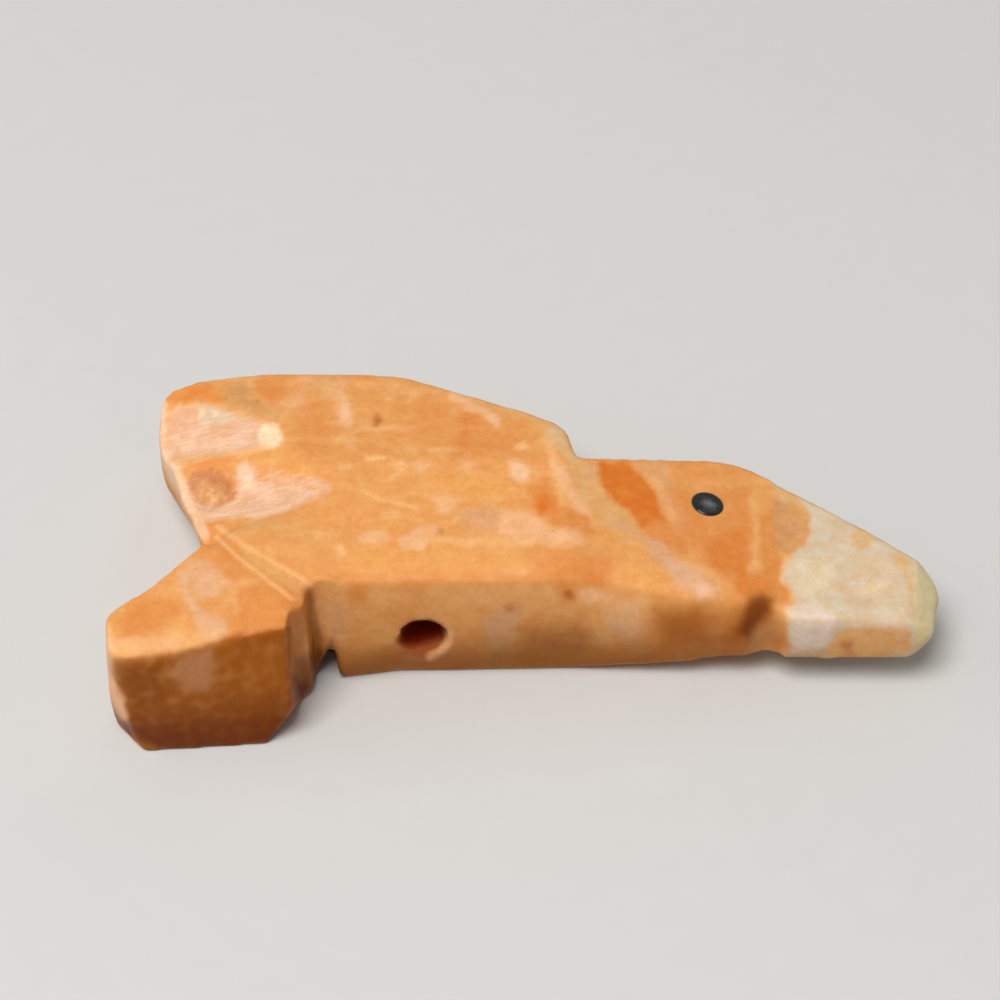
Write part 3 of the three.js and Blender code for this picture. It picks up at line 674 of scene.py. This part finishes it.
def line_distance(points, start, end):
    """Distance of points from a stretch of line on the side view."""
    along, across, reach = along_and_across(points, start, end)
    beyond = np.maximum(np.maximum(-along, along - reach), 0)
    return np.hypot(across, beyond)


def run_distance(points, places):
    """Distance of points from a line through some places."""
    return np.min([line_distance(points, start, end) for start, end in zip(places, places[1:])], axis=0)


def flute_share(points):
    """How much each point lies in a flute, from 0 to 1, on either side of the bird."""
    height = np.abs(points[:, 2] - MIDDLE)
    face = np.minimum(*(plane_height(places, points) for places in WING_FACES))
    depth = np.minimum(face, MIDDLE) - height
    share = np.zeros(len(points))
    for tip, end, width in FLUTES:
        along, across, reach = along_and_across(points, tip, end)
        beside = smooth_step(width / 2 + FLUTE_SIDE, width / 2 - FLUTE_SIDE, np.abs(across))
        share = np.maximum(share, beside * smooth_step(reach + FLUTE_END[0], reach + FLUTE_END[1], along))
    shallow = smooth_step(*FLUTE_SHALLOW, depth) * smooth_step(*FLUTE_DEEP, depth)
    return share * shallow


def held_edges(points):
    """Where the edges stayed crisp: the rim of the hole and the root of the tail."""
    crisp = HOLE_CRISP * smooth_step(*HOLE_RING, distance_from(points, HOLE_MOUTH))
    root = smooth_step(*LINE_REACH, line_distance(points, *TAIL_ROOT))
    return np.maximum(crisp, ROOT_CRISP * root)


def past_edge(points, edge):
    """How much each point lies past a ramp on x, one on y and one on z."""
    share = np.ones(len(points))
    for axis, reach in enumerate(edge):
        share *= smooth_step(*reach, points[:, axis])
    return share


def all_but_worn_edges(points):
    """Holds all but the upper edges of belly, head and tail end, and the saw lines."""
    raised = points.copy()
    raised[:, 2] += BEAK_DROP * smooth_step(*BEAK_ROOT, points[:, 0])
    worn = np.maximum(past_edge(raised, BELLY_EDGE), past_edge(points, TAIL_EDGE))
    for line in SAW_LINES:
        near = smooth_step(*SAW_REACH, line_distance(points, *line))
        worn = np.maximum(worn, near * smooth_step(*SAW_HEIGHT, points[:, 2]))
    return 1 - worn


def all_but_flute_rim(points):
    """Holds all but the rim between the lower flute and the body, which is worn to a slope."""
    near = smooth_step(*LINE_REACH, run_distance(points, FLUTE_RIM))
    return 1 - near * smooth_step(*RIM_HEIGHT, points[:, 2])


def break_share(points):
    """How much each point lies in the broken hollow of the lower flute."""
    centre, reach = BREAK
    fringe = ripple(points, *BREAK_EDGE) * BREAK_FRINGE
    distance = np.hypot(*((points[:, axis] - centre[axis]) / reach[axis] for axis in (0, 1)))
    return smooth_step(*BREAK_RIM, distance + fringe) * (points[:, 2] > BREAK_FOOT)


def belly_swell(points, facing):
    """How far the belly, cut as two planes in the CAD, swells to one round sweep."""
    rise = np.clip(np.abs(points[:, 2] - MIDDLE) / MIDDLE, 0, 1)
    front = smooth_step(*SWELL_SLANT, -facing[:, 1]) * smooth_step(*SWELL_TAIL, points[:, 0])
    return 4 * BELLY_SWELL * rise * (1 - rise) * front * smooth_step(*SWELL_HEAD, points[:, 0])


def wear(mesh, sizes):
    """Moves the skin in and out for grinding and wear, and keeps the shares for the material."""
    points, facing = rows_of(mesh, "co"), rows_of(mesh, "normal")
    flute = flute_share(points) * smooth_step(*FLUTE_SLANT, np.abs(facing[:, 2]))
    broken = break_share(points) * smooth_step(*BREAK_SLANT, facing[:, 2])
    broad, fine = WAVE_PARTS
    waves = broad * ripple(points, *BROAD_WAVES) + fine * ripple(points, *FINE_WAVES)
    move = sizes.waviness / MM * waves

    grooved = np.flatnonzero(flute > FAINT)
    for number, (tip, end, _) in enumerate(FLUTES):
        along, across, _ = along_and_across(points[grooved], tip, end)
        shift = np.full(len(along), number * WHEEL_SHIFT)
        lines = np.stack([along * WHEEL_STRETCH[0], across * WHEEL_STRETCH[1], shift], 1)
        near = smooth_step(*WHEEL_REACH, np.abs(across))
        move[grooved] += flute[grooved] * near * sizes.flute_marks / MM * ripple(lines, *WHEEL_LINES)

    deep = np.flatnonzero(broken > FAINT)
    even, broad, fine = CRUMB_PARTS
    crumb = even + broad * ripple(points[deep], *CRUMBS) + fine * ripple(points[deep], *FINE_CRUMBS)
    move[deep] -= broken[deep] * sizes.break_depth / MM * crumb

    pinned = np.zeros(len(points))
    for place, radius in PINHOLES:
        rim, full = (radius * share for share in PINHOLE_RIM)
        pinned = np.maximum(pinned, smooth_step(rim, full, distance_from(points, place)))
    move -= pinned * sizes.pinhole_depth / MM

    gap = distance_from(points, HOLE_MOUTH) - HOLE_RADIUS
    chipped = np.flatnonzero(gap < CHIP_REACH)
    chips = smooth_step(CHIP_REACH, 0, gap[chipped])
    move[chipped] += chips * CHIP_DEPTH * ripple(points[chipped], *CHIPS)
    move += belly_swell(points, facing)

    on_flat_side = np.abs(points[:, 2] - MIDDLE) > MIDDLE - FLAT_SKIN
    move = np.where(on_flat_side, np.minimum(move, 0), move)
    flute *= 1 - broken
    low, high = (np.array(corner) / MM for corner in CAD_BOX)
    set_points(mesh, np.clip(points + facing * move[:, None], low, high))
    for name, share in (("flute", flute), ("broken", np.maximum(broken, pinned))):
        kept = mesh.attributes.new(name, "FLOAT", "POINT")
        kept.data.foreach_set("value", share.astype(np.float32))


def drill_sockets(stone):
    """Cuts a clean round socket for each eye."""
    work = bmesh.new()
    for node in EYE_NODES:
        centre, outward, radius = eye_seat(node)
        peg(work, centre, outward, radius, -SOCKET_DEPTH, SOCKET_TOP, SOCKET_SIDES)
    mesh = mesh_of(work, "drill")
    drill = show("drill", mesh)
    cut = stone.modifiers.new("Sockets", "BOOLEAN")
    cut.operation = "DIFFERENCE"
    cut.solver = "EXACT"
    cut.object = drill
    settle(stone)
    bpy.data.objects.remove(drill)
    bpy.data.meshes.remove(mesh)


# Banding, with painted light and shade


def picture_place(points):
    """Where the camera sees each point, in pixels of its picture."""
    place, aim = np.array(CAMERA_PLACE) / MM, np.array(CAMERA_AIM) / MM
    ahead = (aim - place) / np.linalg.norm(aim - place)
    right = np.array((1.0, 0.0, 0.0))
    half = PICTURE_WIDTH / 2
    zoom = half / math.tan(math.radians(CAMERA_ANGLE / 2))
    gap = points - place
    scale = zoom / (gap @ ahead)
    return np.stack([half + scale * (gap @ right), half - scale * (gap @ np.cross(right, ahead))], 1)


def slant_to_camera(points, facing):
    """1 where the surface faces the camera squarely, 0 edge on, and less where it has turned away."""
    ahead = np.array(CAMERA_PLACE) / MM - points
    return (ahead * facing).sum(1) / np.linalg.norm(ahead, axis=1)


def outline_distance(spots, corners):
    """Distance of spots from a closed outline, less than 0 inside it."""
    inside = np.zeros(len(spots), bool)
    closed = (*corners, corners[0])
    for first, second in zip(closed, closed[1:]):
        if first[1] != second[1]:
            between = (first[1] > spots[:, 1]) != (second[1] > spots[:, 1])
            slope = (second[0] - first[0]) / (second[1] - first[1])
            inside ^= between & (spots[:, 0] < first[0] + (spots[:, 1] - first[1]) * slope)
    nearest = run_distance(spots, closed)
    return np.where(inside, -nearest, nearest)


def lay(colour, near, share, tone):
    """Lays a tone over the colours of some points."""
    colour[near] += np.clip(share, 0, 1)[:, None] * (np.array(tone) - colour[near])


def lay_marks(colour, spots, shown, marks, tones):
    """Lays marks in order over the colours of points, as far as each point shows them."""
    for _, tone, strength, softness, places, *width in marks:
        half_width = width[0] if width else 0
        reach = half_width + softness
        low, high = np.min(places, axis=0) - reach, np.max(places, axis=0) + reach
        near = np.flatnonzero(((spots > low) & (spots < high)).all(axis=1))
        if half_width:
            away = run_distance(spots[near], places) - half_width
        else:
            away = outline_distance(spots[near], places)
        share = strength * smooth_step(softness, -softness, away) * shown[near]
        lay(colour, near, share, getattr(tones, tone))


def marked_spots(points, seen):
    """The picture place that each point takes its marks from. Points that the camera doesn't see take the
    upper side's above them, shifted more the deeper they lie, as the bands run through the stone."""
    taken = points.copy()
    taken[:, 2] = np.where(seen, points[:, 2], MIDDLE + np.abs(points[:, 2] - MIDDLE))
    spots = picture_place(taken)
    deep = np.where(seen, 0, 1 - points[:, 2] / THICKNESS)
    for axis in (0, 1):
        spots[:, axis] += DEEP_SHIFT * deep * ripple(points, DEEP_BEND, DEEP_BEND_SEED + axis)
        for scale, pixels in BENDS:
            spots[:, axis] += pixels * ripple(points, scale, BEND_SEED + axis)
    return spots


def bands(points, facing, tones):
    """The colour of the stone at each point, with its painted light and shade."""
    every = np.arange(len(points))
    colour = np.tile(np.array(tones.peach, float), (len(points), 1))
    broad = ripple(points, *BROAD_CLOUDS) + CLOUD_PART * ripple(points, *CLOUDS)
    streaks = ripple(points * STREAK_STRETCH, *STREAKS) + STREAK_PART * ripple(points, *FINE_STREAKS)
    grounds = (
        (ORANGE_CLOUDS, broad, tones.orange),
        (APRICOT_STREAKS, streaks, tones.apricot),
        (GOLD_STREAKS, streaks, tones.gold),
    )
    for (strength, reach), pattern, tone in grounds:
        lay(colour, every, strength * smooth_step(*reach, pattern), tone)
    slant = slant_to_camera(points, facing)
    mottle = np.clip(MOTTLE_MEAN + MOTTLE_SWING * ripple(points, *MOTTLES), *MOTTLE_LIMITS)
    lay_marks(colour, marked_spots(points, slant > 0), mottle, MARKS, tones)

    # Painted shade: upright sides are darkened, more towards their lower edge and less at the front of the
    # beak
    shaded_side = smooth_step(*SIDE_SLANT, np.abs(facing[:, 2]))
    shaded_side *= 1 - BEAK_LESS_SHADE * smooth_step(*BEAK_FRONT, points[:, 0])
    low = shaded_side * smooth_step(*FOOT_HEIGHT, points[:, 2])
    colour *= 1 - shaded_side[:, None] * (1 - SIDE_SHADE)
    colour *= 1 - low[:, None] * (1 - np.array(FOOT_SHADE))

    mouth = smooth_step(*MOUTH_REACH, distance_from(points, HOLE_MOUTH))
    shown = np.maximum(smooth_step(*TURNED_AWAY, slant), mouth)
    lay_marks(colour, picture_place(points), shown, TOOL_MARKS, tones)
    return colour


def paint(mesh, tones):
    """Keeps the colour of the stone at each point of the mesh, painted light and shade included."""
    colour = bands(rows_of(mesh, "co"), rows_of(mesh, "normal"), tones)
    kept = mesh.attributes.new("banding", "FLOAT_COLOR", "POINT")
    whole = np.concatenate([colour, np.ones((len(colour), 1))], 1)
    kept.data.foreach_set("color", whole.astype(np.float32).ravel())


# Materials


def wire(tree, kind, inputs, **settings):
    """Adds a node, with values or links on its sockets."""
    made = tree.nodes.new(kind)
    for name, value in settings.items():
        setattr(made, name, value)
    for name, value in inputs.items():
        if isinstance(value, bpy.types.NodeSocket):
            tree.links.new(value, made.inputs[name])
        else:
            made.inputs[name].default_value = value
    return made


def reckon(tree, operation, first, second):
    """One sum on numbers."""
    return wire(tree, "ShaderNodeMath", {0: first, 1: second}, operation=operation).outputs[0]


def stretched(tree, place, factors):
    """Places with each axis stretched."""
    return wire(tree, "ShaderNodeVectorMath", {0: place, 1: factors}, operation="MULTIPLY").outputs[0]


def ramp(tree, value, low, high, to_low=0.0, to_high=1.0):
    """A soft ramp between two values."""
    inputs = {"Value": value, "From Min": low, "From Max": high, "To Min": to_low, "To Max": to_high}
    return wire(tree, "ShaderNodeMapRange", inputs, interpolation_type="SMOOTHSTEP").outputs["Result"]


def blend(tree, share, below, above, kind="MIX"):
    """One colour over another, or times it, on the node's sockets for colours."""
    inputs = {0: share, 6: below, 7: above}
    return wire(tree, "ShaderNodeMix", inputs, data_type="RGBA", blend_type=kind).outputs[2]


def clouds(tree, place, scale, detail=3.0, roughness=0.5):
    """Noise over a place."""
    inputs = {"Vector": place, "Scale": scale, "Detail": detail, "Roughness": roughness}
    return wire(tree, "ShaderNodeTexNoise", inputs).outputs["Fac"]


def kept_value(tree, name, output="Fac"):
    """What the mesh keeps at each point under a name."""
    return wire(tree, "ShaderNodeAttribute", {}, attribute_name=name).outputs[output]


def bumped(tree, relief, millimetres, strength):
    """The surface's direction, tilted by a relief."""
    inputs = {"Height": relief, "Distance": millimetres * MM, "Strength": strength}
    return wire(tree, "ShaderNodeBump", inputs).outputs["Normal"]


def solid(colour, times=1.0):
    """A colour with its alpha, made lighter if asked."""
    return (*(min(1.0, part * times) for part in colour), 1.0)


def new_material(name):
    """A material, its emptied tree and the place that its patterns follow, in millimetres."""
    material = bpy.data.materials.new(name)
    material.use_nodes = True
    tree = material.node_tree
    tree.nodes.clear()
    metres = wire(tree, "ShaderNodeTexCoord", {}).outputs["Object"]
    return material, tree, stretched(tree, metres, (1 / MM, 1 / MM, 1 / MM))


def close_surface(tree, inputs, **settings):
    """Ends a tree with its shader and output."""
    shader = wire(tree, "ShaderNodeBsdfPrincipled", inputs, **settings)
    wire(tree, "ShaderNodeOutputMaterial", {"Surface": shader.outputs["BSDF"]})


def stone_material(tones):
    """Banded stone: the bands kept on the mesh with their painted light and shade, and mottles, wheel
    lines, dirt, pores and polish.
    """
    material, tree, place = new_material("banded_stone")
    colour = kept_value(tree, "banding", "Color")
    for scale, deep in MOTTLE_TONES:
        mottles = clouds(tree, place, scale, roughness=0.6)
        veil = blend(tree, ramp(tree, mottles, *MOTTLE_RAMP), solid(deep), (1, 1, 1, 1))
        colour = blend(tree, 1.0, colour, veil, "MULTIPLY")

    # Flutes: wheel lines along them, lighter and darker
    flute = kept_value(tree, "flute")
    lines = clouds(tree, stretched(tree, place, WHEEL_DRAWN), WHEEL_SCALE, roughness=0.6)
    for (full, most), tone in ((WHEEL_LIGHT, tones.shell), (WHEEL_DARK, tones.lilac)):
        cover = reckon(tree, "MULTIPLY", flute, ramp(tree, lines, WHEEL_MEAN, full, 0.0, most))
        colour = blend(tree, cover, colour, solid(tone))

    # Dirt in the break and the pinholes
    broken = kept_value(tree, "broken")
    crumbs = clouds(tree, place, CRUMB_SCALE, detail=4.0, roughness=0.7)
    stain = reckon(tree, "MULTIPLY", broken, ramp(tree, crumbs, *STAIN_RAMP, 0.0, STAIN_MOST))
    colour = blend(tree, stain, colour, solid(tones.brown))

    # Pores: a few fine dark specks
    pores = wire(tree, "ShaderNodeTexVoronoi", {"Vector": place, "Scale": PORE_SCALE}, feature="F1")
    few = ramp(tree, clouds(tree, place, PORE_PATCH_SCALE, detail=1.0), *PORE_PATCH_RAMP)
    dark = ramp(tree, pores.outputs["Distance"], *PORE_RAMP, 0.0, PORE_MOST)
    speck = reckon(tree, "MULTIPLY", dark, few)
    colour = blend(tree, speck, colour, solid(tones.brown))

    # Polish: smooth faces, dull flutes and break, and a fine grain
    gloss = ramp(tree, clouds(tree, place, SMEAR_SCALE), *SMEAR_RAMP, *GLOSS)
    dull = reckon(tree, "MULTIPLY", reckon(tree, "MAXIMUM", flute, broken), DULLING)
    grain = clouds(tree, place, GRAIN_SCALE, detail=4.0, roughness=0.6)
    relief = reckon(tree, "MULTIPLY", grain, GRAIN_HEIGHT)
    for pattern, cover, height in ((lines, flute, WHEEL_HEIGHT), (crumbs, broken, CRUMB_HEIGHT)):
        part = reckon(tree, "MULTIPLY", pattern, reckon(tree, "MULTIPLY", cover, height))
        relief = reckon(tree, "ADD", relief, part)
    relief = reckon(tree, "SUBTRACT", relief, speck)
    surface = {
        "Base Color": colour,
        "Roughness": reckon(tree, "ADD", gloss, dull),
        "Normal": bumped(tree, relief, STONE_RELIEF, 1.0),
        "IOR": 1.54,
        "Specular IOR Level": 0.1,
        "Subsurface Weight": 0.3,
        "Subsurface Radius": (1.0, 0.5, 0.25),
        "Subsurface Scale": GLOW_DEPTH * MM,
    }
    close_surface(tree, surface, subsurface_method="RANDOM_WALK")
    return material


def jet_material(tones):
    """Polished jet with faint polishing swirls."""
    material, tree, place = new_material("polished_jet")
    haze = clouds(tree, place, 6.0)
    paler = tuple(min(1.0, part * 3 + 0.004) for part in tones.jet)
    surface = {
        "Base Color": blend(tree, ramp(tree, haze, 0.4, 0.75, 0.0, 0.6), solid(tones.jet), solid(paler)),
        "Roughness": ramp(tree, haze, 0.35, 0.7, 0.14, 0.26),
        "Normal": bumped(tree, clouds(tree, place, 24.0, detail=2.0), JET_RELIEF, 0.6),
        "IOR": 1.64,
    }
    close_surface(tree, surface)
    return material


def glue_material(tones):
    """Dark glue with a little dust in it."""
    material, tree, place = new_material("dark_glue")
    dust = clouds(tree, place, 9.0)
    surface = {
        "Base Color": blend(tree, ramp(tree, dust, 0.4, 0.7), solid(tones.glue), solid(tones.glue, 2.2)),
        "Roughness": ramp(tree, dust, 0.3, 0.7, 0.45, 0.7),
        "IOR": 1.5,
    }
    close_surface(tree, surface)
    return material


def floor_material(tones):
    """Plain pale card with a faint tooth."""
    material, tree, place = new_material("pale_floor")
    tooth = clouds(tree, place, 0.9, detail=2.0)
    surface = {
        "Base Color": blend(tree, tooth, solid(tones.floor), solid(tones.floor, 1.03)),
        "Roughness": 0.9,
    }
    close_surface(tree, surface)
    return material


class CarveStone(bpy.types.Operator):
    """Carve the stone: rounded edges, wheel marks, the break, sockets and banding with painted light and
    shade
    """

    bl_idname = "stone_bird.carve_stone"
    bl_label = "Carve the stone"

    def execute(self, context):
        sizes, tones = context.scene.bird_sizes, context.scene.bird_colours
        stone = rough_stone(sizes)
        soften(stone.data, sizes.edge_softness / sizes.mesh_step, held_edges)
        soften(stone.data, sizes.front_softness / sizes.mesh_step, all_but_worn_edges)
        soften(stone.data, sizes.rim_softness / sizes.mesh_step, all_but_flute_rim)
        wear(stone.data, sizes)
        drill_sockets(stone)
        mesh = stone.data
        paint(mesh, tones)
        mesh.transform(Matrix.Scale(MM, 4))
        mesh.polygons.foreach_set("use_smooth", [True] * len(mesh.polygons))
        mesh.set_sharp_from_angle(angle=math.radians(SHARP_ANGLE))
        mesh.materials.clear()
        mesh.materials.append(stone_material(tones))
        mesh.update()
        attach(stone, "root")
        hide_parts(STONE_NODE)
        return {"FINISHED"}


def eye_profile(radius, crown, glue):
    """Reach and height of an eye's rings from its middle out and down, and how many are of jet."""
    button = radius - glue
    profile = [(0.0, 0.0)]
    for ring in range(1, CROWN_RINGS + 1):
        reach = (button - EYE_RIM) * ring / CROWN_RINGS
        profile.append((reach, -crown * CROWN_FALL * (reach / button) ** 2))
    edge = profile[-1][1]
    for ring in range(1, EYE_RIM_RINGS + 1):
        angle = math.radians(90 * ring / EYE_RIM_RINGS)
        reach = button - EYE_RIM + EYE_RIM * math.sin(angle)
        profile.append((reach, edge - EYE_RIM * (1 - math.cos(angle))))
    glue_top = -crown - GLUE_DROP
    profile.append((button, glue_top))
    jet_rings = len(profile)
    return profile + [(radius, glue_top - GLUE_FALL), (radius, -EYE_DEPTH), (0.0, -EYE_DEPTH)], jet_rings


def eye_mesh(name, node, sizes):
    """A turned jet button with a low crown and a soft rim, in its ring of glue."""
    centre, outward, radius = eye_seat(node)
    profile, jet_rings = eye_profile(radius, sizes.eye_crown / MM, sizes.glue_line / MM)
    work = bmesh.new()
    turn = Vector((0, 0, 1)).rotation_difference(outward)
    rings = []
    for reach, height in profile:
        ring = []
        for side in range(EYE_SIDES if reach else 1):
            angle = 2 * math.pi * side / EYE_SIDES
            spot = Vector((reach * math.cos(angle), reach * math.sin(angle), height))
            ring.append(work.verts.new(centre + turn @ spot))
        rings.append(ring)
    for number, (upper, lower) in enumerate(zip(rings, rings[1:])):
        for side in range(EYE_SIDES):
            after = (side + 1) % EYE_SIDES
            corners = [upper[side % len(upper)], lower[side % len(lower)], lower[after % len(lower)]]
            if len(upper) > 1:
                corners.append(upper[after])
            made = work.faces.new(list(dict.fromkeys(corners)))
            made.smooth = True
            made.material_index = int(number >= jet_rings - 1)
    bmesh.ops.recalc_face_normals(work, faces=work.faces)
    bmesh.ops.scale(work, vec=(MM, MM, MM), verts=work.verts)
    mesh = mesh_of(work, name)
    mesh.set_sharp_from_angle(angle=math.radians(SHARP_ANGLE))
    return mesh


class SetEyes(bpy.types.Operator):
    """Set a jet eye in each side of the head"""

    bl_idname = "stone_bird.set_eyes"
    bl_label = "Set the eyes"

    def execute(self, context):
        sizes, tones = context.scene.bird_sizes, context.scene.bird_colours
        jet, glue = jet_material(tones), glue_material(tones)
        for node in EYE_NODES:
            name = node.replace("eye", "jet_eye")
            mesh = eye_mesh(name, node, sizes)
            mesh.materials.append(jet)
            mesh.materials.append(glue)
            eye = show(name, mesh)
            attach(eye, "root")
            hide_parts(node)
        return {"FINISHED"}


# The stage


def aimed(piece, place, aim):
    """Puts a light or camera in its place, looking at a point."""
    piece.location = place
    piece.rotation_euler = (Vector(aim) - Vector(place)).to_track_quat("-Z", "Y").to_euler()
    bpy.context.scene.collection.objects.link(piece)


def softbox(name, box, power):
    """A square lamp that looks at the bird."""
    place, width = box
    lamp = bpy.data.lights.new(name, "AREA")
    lamp.shape = "SQUARE"
    lamp.size = width
    lamp.energy = power
    aimed(bpy.data.objects.new(name, lamp), place, (0, 0, 0))


class SetStage(bpy.types.Operator):
    """Lay the floor, and place the lights and the camera"""

    bl_idname = "stone_bird.set_stage"
    bl_label = "Set the stage"

    def execute(self, context):
        tones, light = context.scene.bird_colours, context.scene.bird_light
        work = bmesh.new()
        bmesh.ops.create_grid(work, x_segments=2, y_segments=2, size=FLOOR_REACH)
        bmesh.ops.translate(work, verts=work.verts, vec=(0, 0, -FLOOR_GAP))
        mesh = mesh_of(work, "floor")
        mesh.materials.append(floor_material(tones))
        show("floor", mesh)

        softbox("key", KEY_BOX, light.key_power)
        softbox("side", SIDE_BOX, light.side_power)
        softbox("back", BACK_BOX, light.back_power)
        world = bpy.data.worlds.new("pale_room")
        world.use_nodes = True
        backdrop = world.node_tree.nodes["Background"]
        backdrop.inputs["Color"].default_value = ROOM_TINT
        backdrop.inputs["Strength"].default_value = light.room
        context.scene.world = world
        context.scene.view_settings.view_transform = "Standard"

        lens = bpy.data.cameras.new("camera")
        lens.angle = math.radians(CAMERA_ANGLE)
        lens.clip_start, lens.clip_end = CAMERA_RANGE
        camera = bpy.data.objects.new("camera", lens)
        aimed(camera, CAMERA_PLACE, CAMERA_AIM)
        context.scene.camera = camera
        return {"FINISHED"}


class StoneBirdPanel(bpy.types.Panel):
    """Sizes, colours and steps of the stone bird"""

    bl_idname = "VIEW3D_PT_stone_bird"
    bl_label = "Stone bird"
    bl_space_type = "VIEW_3D"
    bl_region_type = "UI"
    bl_category = "Stone bird"

    def draw(self, context):
        layout = self.layout
        for step in (CarveStone, SetEyes, SetStage):
            layout.operator(step.bl_idname)
        for group in ("bird_sizes", "bird_colours", "bird_light"):
            values = getattr(context.scene, group)
            column = layout.column(align=True)
            for name in values.bl_rna.properties.keys():
                if name not in {"rna_type", "name"}:
                    column.prop(values, name)


CLASSES = (BirdSizes, BirdColours, BirdLight, CarveStone, SetEyes, SetStage, StoneBirdPanel)


def register():
    for made in CLASSES:
        bpy.utils.register_class(made)
    bpy.types.Scene.bird_sizes = PointerProperty(type=BirdSizes)
    bpy.types.Scene.bird_colours = PointerProperty(type=BirdColours)
    bpy.types.Scene.bird_light = PointerProperty(type=BirdLight)


def unregister():
    del bpy.types.Scene.bird_light
    del bpy.types.Scene.bird_colours
    del bpy.types.Scene.bird_sizes
    for made in reversed(CLASSES):
        bpy.utils.unregister_class(made)


def main():
    register()
    bpy.ops.stone_bird.carve_stone()
    bpy.ops.stone_bird.set_eyes()
    bpy.ops.stone_bird.set_stage()


if __name__ == "__main__":
    main()
